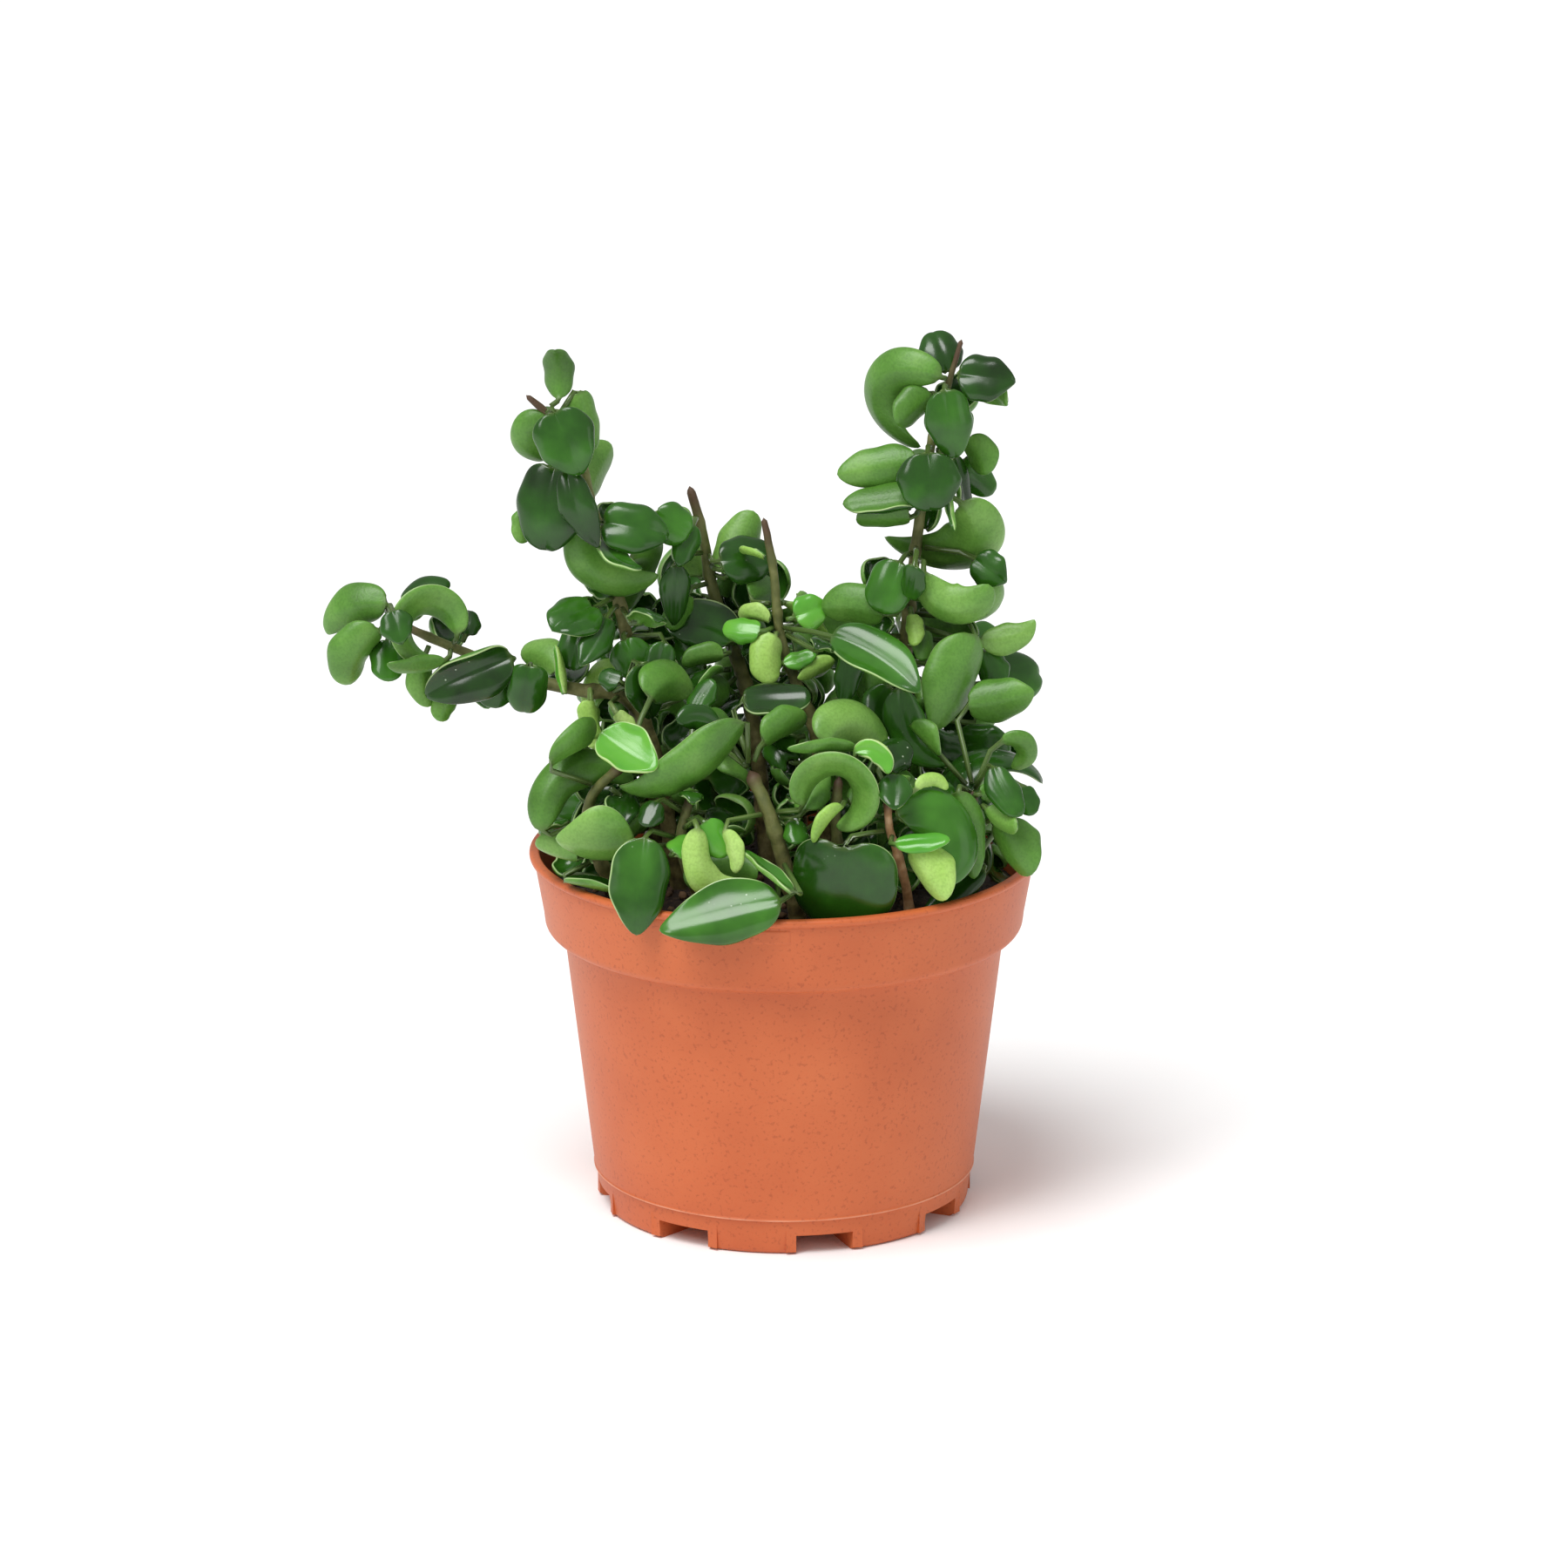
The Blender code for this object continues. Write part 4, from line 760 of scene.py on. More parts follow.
leaf("mound_centre_4", (-39, -30, 163), (50, 45), (88, 15), (22, 16), bend=20, sway=(-50, -60), curl=40)
leaf("mound_left_2", (-53, -46, 157), (335, -30), (272, 40), (21, 15), bend=(10, 10), curl=25, point=0.8,
     young=1)
leaf("mound_left_8", (-19, -50, 153), (130, 40), (85, 10), (24, 14), bend=15, sway=(40, 50, 30), curl=30)
leaf("mound_left_9", (-60, -42, 118), (175, 5), (88, 15), (14, 14), bend=30, curl=60)
leaf("mound_left_10", (-64, -44, 112), (340, -10), (90, 60), (21, 9), sway=-20, curl=20)
leaf("mound_left_11", (-36, -58, 132), (290, -65), (100, 10), (27, 11), curl=(35, 20), point=1)
leaf("mound_left_12", (-30, -52, 147), (190, -10), (262, 50), (13, 10), bend=60, curl=40, young=1)
leaf("mound_left_13", (-33, -60, 127), (40, 40), (265, 30), (13, 12), bend=-40, curl=-50, young=1)
leaf("mound_left_14", (-23, -59, 133), (320, -50), (268, 20), (13, 11), bend=-20, curl=-45, young=1)
leaf("mound_left_15", (-17, -61, 132), (318, -50), (88, 10), (13, 6), sway=-40, curl=20, young=1)
leaf("mound_left_16", (-33, -63, 124), (300, -62), (265, 10), (19, 7), sway=10, curl=-30, young=1)
leaf("mound_left_17", (-58, -40, 142), (200, -40), (265, 10), (12, 10), bend=-20, curl=-40)
leaf("mound_left_18", (-52, -36, 151), (180, 0), (90, 10), (13, 9), bend=10, curl=30)
leaf("mound_left_19", (-49, -32, 156), (300, -40), (90, 0), (10, 6), curl=40, young=1)
leaf("mound_left_20", (-19, -44, 156), (150, 50), (275, 40), (15, 9), bend=-20, sway=(-40, -40), curl=-30)
leaf("mound_left_21", (-38, -54, 143), (235, -60), (262, 20), (10, 9), bend=-20, curl=-40)
leaf("mound_left_22", (-56, -28, 160), (250, -60), (90, 0), (13, 9), sway=30, curl=60, young=1)
leaf("mound_front_4", (1, -73, 115.5), (176, 0), (88, 50), (32, 8), sway=20, curl=30, point=1)
leaf("mound_front_5", (-13, -48, 162), (300, -55), (88, 10), (18, 11), sway=-30, curl=35)
leaf("mound_front_6", (-6, -42, 153), (20, 30), (88, 15), (17, 13), bend=20, sway=-40, curl=45)
leaf("mound_front_7", (15, -48, 157), (215, -40), (88, 40), (27, 8), bend=5, sway=-10, curl=(20, 30),
     point=1)
leaf("mound_front_8", (14, -50, 153), (60, 60), (270, 10), (18, 7), sway=(40, 50, 30), curl=20, young=1)
leaf("mound_front_9", (7, -51, 137), (70, 60), (88, 0), (17, 13), sway=-40, curl=40)
leaf("mound_front_10", (16, -56, 138), (225, -30), (100, 20), (14, 7), sway=40, curl=30, young=1)
leaf("mound_front_11", (27, -50, 148), (310, -40), (270, 20), (15, 11), fold=10, curl=-20, point=0.5)
leaf("mound_front_12", (26, -52, 146), (275, -78), (88, 5), (18, 9), curl=30, point=1)
leaf("mound_front_13", (28, -46, 148), (30, 30), (275, 40), (12, 12), bend=-30, curl=-45)
leaf("mound_front_14", (31, -50, 146), (5, 5), (88, 30), (15, 7), curl=20, point=1)
leaf("mound_front_15", (3, -48, 134), (280, -60), (275, 10), (9, 8), curl=-40)
leaf("mound_right_1", (32, -60, 127.5), (5, 10), (275, 60), (17, 7), sway=10, curl=-20, young=1)
leaf("mound_right_7", (38, -50, 141), (50, 50), (90, 10), (13, 4), sway=(-60, -60), curl=20, young=1)
leaf("mound_right_8", (46, -40, 143), (70, 60), (285, 15), (34, 16), bend=-20, sway=(35, 50, 30), curl=-30)
leaf("mound_right_9", (61, -44, 146), (290, -50), (270, 15), (17, 9), bend=-10, sway=-30, fold=10,
     curl=-40)
leaf("mound_right_10", (55, -42, 141), (20, 30), (88, 0), (8, 6), sway=-60, curl=30)
leaf("mound_right_11", (55, -46, 131), (50, 50), (270, 10), (9, 5), curl=-20, point=1)
leaf("mound_right_12", (58, -44, 136), (320, -40), (88, 20), (15, 8), sway=50, curl=30)
leaf("mound_right_13", (61, -46, 112), (185, -10), (265, 60), (28, 10), curl=-20, point=1)
leaf("mound_right_14", (70, -36, 138), (300, -60), (275, 10), (9, 7), curl=-40)
leaf("mound_centre_5", (-15, -26, 166), (130, 60), (88, 15), (16, 15), bend=30, sway=20, curl=50)
leaf("mound_centre_6", (-21, -30, 160), (20, 40), (275, 40), (14, 9), sway=40, curl=-30)
leaf("mound_centre_7", (8, -30, 160), (200, -30), (90, 30), (18, 6), sway=-40, curl=30)
leaf("mound_centre_8", (-41, -27, 167), (120, 50), (270, 30), (9, 9), bend=-20, curl=-40)



def compass(turn, rise):
    # the unit vector of a compass turn (0 right, 90 back, 180 left, 270 front) and a rise
    turn, rise = math.radians(turn), math.radians(rise)
    return np.array([math.cos(rise) * math.cos(turn), math.cos(rise) * math.sin(turn), math.sin(rise)])


def turned(vector, axis, angle):
    # Rodrigues: v cos a + (k x v) sin a + k (k.v)(1 - cos a)
    along = axis * np.dot(axis, vector)
    side = np.array([axis[1] * vector[2] - axis[2] * vector[1], axis[2] * vector[0] - axis[0] * vector[2],
                     axis[0] * vector[1] - axis[1] * vector[0]])
    return vector * math.cos(angle) + side * math.sin(angle) + along * (1 - math.cos(angle))


def nudgeOf(attempt):
    # the same small turn, shift and shrink that the CAD leaves try until they have room, in
    # directions spread by the golden ratio, round by round a little further
    rise = 1 - 2 * ((attempt * 0.618) % 1)
    turn = attempt * 2.4
    flat = math.sqrt(1 - rise * rise)
    axis = np.array([flat * math.cos(turn), flat * math.sin(turn), rise])
    aside = np.array([flat * math.sin(turn), rise, flat * math.cos(turn)])
    level = math.ceil(attempt / settling["perRound"])
    return (axis, level * math.radians(settling["turn"]), aside * level * settling["shift"] * mm,
            1 / (1 + level * settling["shrink"]))


def isOpen(spec):
    # leaves whose dull side would face the front
    return compass(*spec["face"])[1] > leafShape["openFacing"] and not spec.get("fold")


def foldOf(spec):
    # the angle at which each half leaves the midrib
    plain = spec.get("fold", 0) * leafShape["foldGain"]
    return math.radians(leafShape["openFold"] if isOpen(spec) else plain)


def midrib(spec, nudge):
    # the midrib's points and frames (along, glossy, right): the frame turns by bend about right,
    # by sway about glossy and by twist about along, a little at each even step
    axis, angle, shift, scale = nudge
    along, glossy = compass(*spec["grow"]), compass(*spec["face"])
    glossy = unit(glossy - along * np.dot(glossy, along))
    right = np.cross(along, glossy)
    if isOpen(spec):
        # an open leaf shows the dull outside of one half and the inside of the other
        side = right[2] + leafShape["openLean"] * right[0] * math.copysign(1, spec["base"][0])
        glossy = turned(glossy, along, math.copysign(math.radians(leafShape["open"]), side))
    along, glossy = turned(along, axis, angle), turned(glossy, axis, angle)
    steps = leafShape["steps"]
    middles = (np.arange(steps) + 0.5) / steps
    rates = []
    for key in ("bend", "sway", "twist"):
        given = np.atleast_1d(spec.get(key, 0))
        centres = (np.arange(len(given)) + 0.5) / len(given)
        rates.append(np.radians(np.interp(middles, centres, given)) * len(given) / steps)
    right = np.cross(along, glossy)
    points, frames = [np.array(spec["base"]) * mm + shift], [(along, glossy, right)]
    stride = spec["size"][0] * mm * scale / steps
    for bend, sway, twist in zip(*rates):
        along, glossy = turned(along, right, bend), turned(glossy, right, bend)
        along = turned(along, glossy, -sway)
        glossy = turned(glossy, along, twist)
        right = np.cross(along, glossy)
        points.append(points[-1] + along * stride)
        frames.append((along, glossy, right))
    return np.array(points), np.array(frames)


def bladeSurface(spec, nudge, columns):
    # half width = w/2 sin(pi s^0.85)^0.55 (1 - 0.45 point s^3); each half of a cross-section starts
    # at the fold angle and turns by curl c + roll c^4, summed along c by the trapezoid rule; heart
    # lobes reach back by lobes times 4.2 sqrt(s) (1 - s)^3 c^2, which is at most 1
    scale = nudge[3]
    points, frames = midrib(spec, nudge)
    share = np.linspace(0, 1, leafShape["steps"] + 1)
    outline = np.sin(np.pi * share ** 0.85) ** 0.55 * (1 - 0.45 * spec.get("point", 0) * share ** 3)
    widest = spec["size"][1] * leafShape["plump"] * mm * scale / 2
    half = np.maximum(widest * outline, leafShape["stalk"] * mm * (1 - share))[:, None]
    left, right = np.radians(np.broadcast_to(spec.get("curl", 0), 2)) * leafShape["curlGain"]
    fold = foldOf(spec)
    slices = leafShape["slices"]
    reach = np.linspace(0, 1, slices + 1)
    across, rise = np.empty((len(share), len(columns))), np.empty((len(share), len(columns)))
    for side, curl in ((-1, left), (1, right)):
        roll = math.radians(spec.get("roll", leafShape["roll"])) * math.copysign(1, curl)
        angle = fold + outline[:, None] * (curl * reach + roll * reach ** 4)
        chosen = columns * side >= 0
        for target, slope, sign in ((across, np.cos(angle), side), (rise, np.sin(angle), 1)):
            steps = np.cumsum((slope[:, 1:] + slope[:, :-1]) / (2 * slices), axis=1)
            sums = np.concatenate([np.zeros((len(share), 1)), steps], axis=1)
            place = np.abs(columns[chosen]) * slices
            lower = np.minimum(place.astype(int), slices - 1)
            part = place - lower
            target[:, chosen] = half * sign * (sums[:, lower] * (1 - part) + sums[:, lower + 1] * part)
    lobe = np.outer(np.sqrt(share) * (1 - share) ** 3, columns ** 2)
    back = spec.get("lobes", 0) * mm * scale * leafShape["lobeReach"] * lobe
    surface = (points[:, None] + frames[:, None, 2] * across[..., None]
               + frames[:, None, 1] * rise[..., None] - frames[:, None, 0] * back[..., None])
    normals = np.cross(np.gradient(surface, axis=1), np.gradient(surface, axis=0))
    normals /= np.maximum(np.linalg.norm(normals, axis=2, keepdims=True), 1e-12)
    return surface, normals, frames, half


stemLines = [stemPath(name, 12) for name in stems]


def stalkRings(base, along, right, turns, gap):
    # the short stalk from the nearest stem to the blade: a Bezier curve with round rings
    best = None
    for path, radii in stemLines:
        gaps = np.linalg.norm(path - base, axis=1) - radii
        nearest = int(np.argmin(gaps))
        if best is None or gaps[nearest] < best[0]:
            best = (gaps[nearest], path[nearest], radii[nearest])
    out = unit(base - best[1])
    radius = leafShape["stalk"] * mm
    start = best[1] + out * (best[2] + radius + leafShape["gap"] * mm)
    if best[0] > leafShape["longestStalk"] * mm:
        start = base - out * leafShape["longestStalk"] * mm
    span = np.linalg.norm(base - start)
    if span <= 2 * radius:
        return []
    knee, hip = start + out * span / 3, base - along * span / 3
    rings = []
    for step in range(3):
        s = step / 3
        point = ((1 - s) ** 3 * start + 3 * s * (1 - s) ** 2 * knee + 3 * s ** 2 * (1 - s) * hip
                 + s ** 3 * base)
        slope = unit((1 - s) ** 2 * (knee - start) + 2 * s * (1 - s) * (hip - knee)
                     + s ** 2 * (base - hip))
        side = unit(right - slope * np.dot(right, slope))
        up = np.cross(side, slope)
        top = point + (radius + gap) * (np.sin(turns)[:, None] * side + np.cos(turns)[:, None] * up)
        low = point + (radius + gap) * (np.sin(turns)[:, None] * side - np.cos(turns)[:, None] * up)
        rings.append(np.vstack([top, low[-2:0:-1]]))
    return rings


def coarseLeaf(spec, attempt, gap=0.0):
    # the CAD leaf's own few rings, to match its box and to test for room
    surface, normals, frames, half = bladeSurface(spec, nudgeOf(attempt), cadColumns)
    thick = leafShape["thickness"] / 2 * mm + gap
    rings = stalkRings(surface[0, 2], frames[0, 0], frames[0, 2], np.linspace(-1, 1, 5) * np.pi / 2, gap)
    for station in cadStations:
        row, way = surface[station], normals[station]
        margin = (row - row[2]) / np.maximum(np.linalg.norm(row - row[2], axis=1), 1e-9)[:, None]
        edge = row + margin * gap
        rings.append(np.vstack([edge[:1], (row + way * thick)[1:4],
                                edge[4:], (row - way * thick)[3:0:-1]]))
    return np.array(rings), surface[-1, 2] + frames[-1, 0] * gap


ringFaces = {}


def capped(rings, tip):
    # faces of rings closed by a fan at the start and a point at the tip
    count, sides = rings.shape[:2]
    if (count, sides) not in ringFaces:
        faces = gridFaces(count, sides, closed=True).tolist()
        faces += [((i + 1) % sides, i, count * sides) for i in range(sides)]
        last = (count - 1) * sides
        faces += [(last + i, last + (i + 1) % sides, count * sides + 1) for i in range(sides)]
        ringFaces[count, sides] = faces
    points = np.vstack([rings.reshape(-1, 3), rings[0].mean(0)[None], tip[None]])
    return points, ringFaces[count, sides]


def treeOf(rings, tip):
    # a search tree of a leaf, for overlap tests
    points, faces = capped(rings, tip)
    return BVHTree.FromPolygons(points.tolist(), faces)


lightColumns = fineColumns[::2]


def fineLeaf(spec, attempt, seed, light=False):
    # the leaf's shell: middle surface +- thickness/2 sqrt(1 - c^6) along the normal, with a
    # shallow groove over the midrib, a soft ruffle at the margin, and the stalk joined on
    random = np.random.default_rng(seed)
    columns = lightColumns if light else fineColumns
    surface, normals, frames, half = bladeSurface(spec, nudgeOf(attempt), columns)
    if light:
        surface, normals, frames, half = surface[::2], normals[::2], frames[::2], half[::2]
    share = np.linspace(0, 1, len(surface))[:, None]
    reach = np.abs(columns)[None, :]
    waviness = random.uniform(9, 15)
    starts = random.uniform(0, 6.28, 2)[(columns > 0).astype(int)][None, :]
    lift = leafShape["ruffle"] * mm * np.sin(share * waviness + starts) * reach ** 3
    surface = surface + normals * (lift * np.sin(np.pi * share))[..., None]
    normals = np.cross(np.gradient(surface, axis=1), np.gradient(surface, axis=0))
    normals /= np.maximum(np.linalg.norm(normals, axis=2, keepdims=True), 1e-12)
    thin = np.clip((1 - share) * 12, 0.25, 1) ** 0.5
    thick = leafShape["thickness"] / 2 * mm * np.sqrt(np.clip(1 - reach ** 6, 0, 1)) * thin
    middle = columns[None, :] * half
    rib = (np.exp(-(middle / (leafShape["ribWidth"] * mm)) ** 2) * leafShape["groove"] * mm
           * np.clip((1 - share) * 2, 0, 1))
    crease = math.tan(foldOf(spec))
    rounded = crease * (np.sqrt(middle ** 2 + (leafShape["creaseRadius"] * mm) ** 2) - np.abs(middle))
    surface = surface + frames[:, None, 1] * (rounded * np.sin(np.pi * share) ** 0.5)[..., None]
    top = surface + normals * (thick - rib)[..., None]
    low = surface - normals * (thick + 0.8 * rib)[..., None]
    stations = np.arange(len(surface) - 1)
    blade = np.concatenate([top[stations], low[stations][:, -2:0:-1]], axis=1)
    stalk = stalkRings(surface[0, len(columns) // 2], frames[0, 0], frames[0, 2],
                       np.linspace(-1, 1, len(columns)) * np.pi / 2, 0.0)
    rings = np.concatenate([np.array(stalk), blade]) if len(stalk) else blade
    points, faces = capped(rings, surface[-1, len(columns) // 2])
    count = len(columns)
    gloss = np.concatenate([[0.5], np.ones(count - 2), [0.5], np.zeros(count - 2)])
    across = np.concatenate([columns, columns[-2:0:-1]])
    along = np.concatenate([np.full(len(stalk), -0.05), share[:-1, 0]])
    return points, faces, {
        "gloss": np.concatenate([np.tile(gloss, len(rings)), [0.5, 0.5]]),
        "across": np.concatenate([np.tile(across, len(rings)), [0, 0]]),
        "along": np.concatenate([np.repeat(along, len(across)), [-0.05, 1]]),
        "tone": np.full(len(rings) * len(across) + 2, random.uniform(0, 1)),
    }


# rim is the thin pale margin line: partly the leaf's own paler edge, partly a painted highlight where
# light catches the rounded rim
leafColour = {"topDeep": "132c08", "top": "234f0f", "topPale": "3c751d",
              "underDeep": "3f6a1e", "under": "588b31", "underPale": "7dab4e", "rim": "b9d292",
              # stalk: olive petiole colour, darkened partly as painted shade so the stalks sink into the
              # shaded gaps
              "fleck": "cfe0c2", "stalk": "4f6330", "gloss": 0.14, "matt": 0.34,
              "youngTop": "4f9a2c", "youngTopDeep": "35801f", "youngTopPale": "6db03c",
              "youngUnder": "9cc65a", "youngUnderDeep": "7fae45", "youngUnderPale": "b6d67c"}


def waxyLeaf(name, top, under):
    # thick succulent blade: the upper cuticle is waxed, dark and mirror-like with rare silver
    # flecks; the underside is pale, dull and finely grained; the margin is a thin pale line, partly the
    # leaf's own paler edge and partly a painted highlight along the rounded rim
    material, shader = newMaterial(name)
    place = addNode(material, "TexCoord")
    values = {key: addNode(material, "Attribute", {"attribute_name": key})
              for key in ("gloss", "across", "along", "tone")}
    cloud = addNode(material, "TexNoise", Vector=(place, "Object"), Scale=70.0, Detail=3.0)
    shift = addNode(material, "Math", {"operation": "MULTIPLY_ADD"},
                    in0=(values["tone"], 2), in1=0.5, in2=(cloud, 0))
    level = addNode(material, "MapRange", Value=(shift, 0), in1=0.35, in2=1.1)
    upper = ramp(material, (level, 0), [(0.0, top[0]), (0.5, top[1]), (1.0, top[2])])
    lower = ramp(material, (level, 0), [(0.0, under[0]), (0.5, under[1]), (1.0, under[2])])
    # silver flecks about 0.5 mm wide on some leaves' upper side
    spots = addNode(material, "TexVoronoi", {"feature": "F1"},
                    Vector=(place, "Object"), Scale=420.0)
    dot = addNode(material, "MapRange", Value=(spots, 0), in1=0.14, in2=0.06, in3=0.0, in4=1.0)
    where = addNode(material, "TexNoise", Vector=(place, "Object"), Scale=55.0)
    some = addNode(material, "MapRange", Value=(where, 0), in1=0.6, in2=0.7, in3=0.0, in4=0.8)
    flecks = addNode(material, "Math", {"operation": "MULTIPLY"}, in0=(dot, 0), in1=(some, 0))
    upperFlecked = mixed(material, (flecks, 0), (upper, 0), linear(leafColour["fleck"]))
    # fine cell grain of the underside, drawn at 0.6 mm so that it shows
    grain = addNode(material, "TexNoise", Vector=(place, "Object"), Scale=1300.0, Detail=2.0)
    grainTone = ramp(material, (grain, 0), [(0.3, "b9c6a8"), (0.6, "ffffff")])
    lowerGrained = mixed(material, 0.4, (lower, 0), (grainTone, 0), "MULTIPLY")
    isTop = addNode(material, "MapRange", Value=(values["gloss"], 2), in1=0.55, in2=0.85)
    faces = mixed(material, (isTop, 0), (lowerGrained, 2), (upperFlecked, 2))
    # pale margin line on both faces: partly the leaf's own paler edge, partly painted highlight on the
    # rounded rim
    margin = addNode(material, "Math", {"operation": "ABSOLUTE"}, in0=(values["across"], 2))
    rim = addNode(material, "MapRange", Value=(margin, 0),
                  in1=0.965, in2=0.995, in3=0.0, in4=0.75)
    rimWithPaintedHighlight = mixed(material, (rim, 0), (faces, 2), linear(leafColour["rim"]))
    # the stalk and the blade's base take the stalk colour: olive petiole colour, darkened partly as
    # painted shade for the shaded gaps
    stalk = addNode(material, "MapRange", Value=(values["along"], 2),
                    in1=0.06, in2=-0.01, in3=0.0, in4=0.85)
    final = mixed(material, (stalk, 0), (rimWithPaintedHighlight, 2), linear(leafColour["stalk"]))
    join(material, final, 2, shader, "Base Color")
    rough = addNode(material, "MapRange", Value=(isTop, 0),
                    in3=leafColour["matt"], in4=leafColour["gloss"])
    dull = addNode(material, "Math", {"operation": "MULTIPLY_ADD"},
                   in0=(cloud, 0), in1=0.12, in2=(rough, 0))
    join(material, dull, 0, shader, "Roughness")
    shader.inputs["IOR"].default_value = 1.47
    shader.inputs["Subsurface Weight"].default_value = 0.03
    shader.inputs["Subsurface Radius"].default_value = (0.3, 1.0, 0.2)
    shader.inputs["Subsurface Scale"].default_value = 0.0015
    bumpiness = addNode(material, "MapRange", Value=(isTop, 0), in3=0.35, in4=0.05)
    bump = addNode(material, "Bump", Height=(grain, 0),
                   Strength=(bumpiness, 0), Distance=0.00025)
    join(material, bump, 0, shader, "Normal")
    return material


matureLeaf, youngLeaf = (
    waxyLeaf(name, *([leafColour[side + tone] for tone in ("Deep", "", "Pale")] for side in sides))
    for name, sides in (("mature hoya leaf", ("top", "under")),
                        ("young hoya leaf", ("youngTop", "youngUnder"))))


def asPiece(name, parts, young, node=None):
    # joins the shells of one or more leaves into a piece
    points, faces, values, start = [], [], {}, 0
    for somePoints, someFaces, someValues in parts:
        points.append(somePoints)
        faces += [tuple(start + corner for corner in face) for face in someFaces]
        for key, given in someValues.items():
            values.setdefault(key, []).append(given)
        start += len(somePoints)
    made = makeObject(name, np.vstack(points), faces, youngLeaf if young else matureLeaf,
                      {key: np.concatenate(given) for key, given in values.items()})
    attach(made, "root")
    if node:
        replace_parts(made, node)
    return made


def cadAttempt(spec):
    # the attempt whose box is the CAD leaf's own
    low, high = (np.array(corner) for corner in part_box(spec["name"]))
    for attempt in range(settling["cadTries"]):
        rings, tip = coarseLeaf(spec, attempt)
        points = np.vstack([rings.reshape(-1, 3), tip[None]])
        if max(np.abs(points.min(0) - low).max(), np.abs(points.max(0) - high).max()) < settling["match"]:
            return attempt
    return None


graph = bpy.context.evaluated_depsgraph_get()
placed = []
for piece in [o for o in bpy.data.objects if o.get("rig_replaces") and not o.get("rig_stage")]:
    placed.append(BVHTree.FromObject(piece, graph))


def settle(spec, tries):
    # the first attempt at which the fattened leaf touches nothing
    for attempt in range(tries):
        tree = treeOf(*coarseLeaf(spec, attempt, leafShape["gap"] * mm))
        if not any(tree.overlap(other) for other in placed):
            return attempt
    return None


unmatched, noRoom = [], []
rows.sort(key=lambda spec: spec["name"] not in frame["nodes"])
for order, spec in enumerate(rows):
    isCad = spec["name"] in frame["nodes"]
    attempt = cadAttempt(spec) if isCad else settle(spec, settling["tries"])
    if attempt is None:
        (unmatched if isCad else noRoom).append(spec["name"])
        continue
    spec["attempt"] = attempt
    placed.append(treeOf(*coarseLeaf(spec, attempt)))
    asPiece(spec["name"] + "_blade", [fineLeaf(spec, attempt, 100 + order)], spec.get("young"),
            spec["name"] if isCad else None)
print("leaves made:", len(rows), "unmatched", unmatched, "no room", noRoom)


# Small leaves that fill the plant out.

filling = {"seed": 8, "length": (14, 27), "width": (0.66, 0.95), "shrink": 0.1, "tries": 5,
           # most radius of a leaf near the rim and of its middle; its lowest point and that of its
           # middle; width, height and depth in which gaps are looked for; where the rim's limit and
           # the gaps of the back views end (all mm)
           "radius": 74, "middleRadius": 68, "floor": 98, "lowest": 104, "across": (-78, 78),
           "height": (96, 205), "depth": (-60, 50), "rimLevel": 150, "backLevel": 155,
           # room round a leaf; least share of it behind others; most share of it over a kept leaf;
           # where a sight line starts and ends
           "keep": 0.3, "hidden": 0.6, "cover": 0.12, "clear": 2, "far": 250,
           # leaves along the stems: spacing, lowest level, distance from the stem, most leaves
           "pitch": 8.5, "stemLevel": 130, "stemGap": 4, "alongStems": 110,
           # where gaps are looked for: compass turn and rise of the view, rays, most leaves
           "views": [(270, 16, 9000, 300), (0, 20, 1200, 60), (180, 20, 1200, 60), (90, 20, 1200, 60),
                     (90, 60, 900, 50)]}
# the outline of the foliage seen from the front: mm to the right and mm up on the picture plane
outline = np.array([(-78, 96), (-79, 125), (-77, 136), (-63, 146), (-62, 158), (-66, 170), (-55, 184),
                    (-40, 196), (-36, 207), (-18, 207), (-11, 194), (2, 180), (12, 180), (22, 185),
                    (30, 189), (40, 194), (55, 189), (64, 175), (68, 160), (75, 143), (74, 128),
                    (76, 96)], float)
cameraPlace = np.array(bpy.context.scene.camera.location)


def onPicture(point):
    # where a point lies on the upright plane through the pot's axis, in mm, seen from the camera
    ray = point - cameraPlace
    met = cameraPlace + ray * (-cameraPlace[1] / ray[1])
    return met[0] / mm, met[2] / mm


def inOutline(x, z):
    # even-odd test: edges of the outline that a level ray to the right crosses
    ends = np.roll(outline, -1, axis=0)
    over = (outline[:, 1] > z) != (ends[:, 1] > z)
    rise = np.where(over, ends[:, 1] - outline[:, 1], 1)
    at = outline[:, 0] + (z - outline[:, 1]) * (ends[:, 0] - outline[:, 0]) / rise
    return np.count_nonzero(over & (x < at)) % 2 == 1


class Crowd:
    # the shapes already there, with their boxes, so that a new leaf is tested against few
    def __init__(self):
        # starts empty
        self.trees, self.lows, self.highs, self.kept = [], [], [], []

    def add(self, tree, points, kept):
        # stores a tree with its box, and whether it has to stay in view
        self.trees.append(tree)
        self.lows.append(points.min(0))
        self.highs.append(points.max(0))
        self.kept.append(kept)

    def touches(self, tree, points):
        # whether the tree overlaps any stored one; only those whose boxes meet are tested
        below, above = np.array(self.lows) < points.max(0), np.array(self.highs) > points.min(0)
        near = np.flatnonzero(np.all(below & above, axis=1))
        return any(tree.overlap(self.trees[index]) for index in near)

    def nearest(self, start, way, span):
        # the first shape that a ray meets: its index and the point, or None; slab test on boxes
        lows, highs = np.array(self.lows), np.array(self.highs)
        safe = np.where(np.abs(way) < 1e-9, 1e-9, way)
        one, two = (lows - start) / safe, (highs - start) / safe
        entry, leaving = np.minimum(one, two).max(1), np.maximum(one, two).min(1)
        found, best = None, span
        for index in np.flatnonzero((entry <= leaving) & (leaving > 0) & (entry < best)):
            place, normal, face, distance = self.trees[index].ray_cast(Vector(start), Vector(way), best)
            if place is not None:
                found, best = (index, np.array(place)), distance
        return found


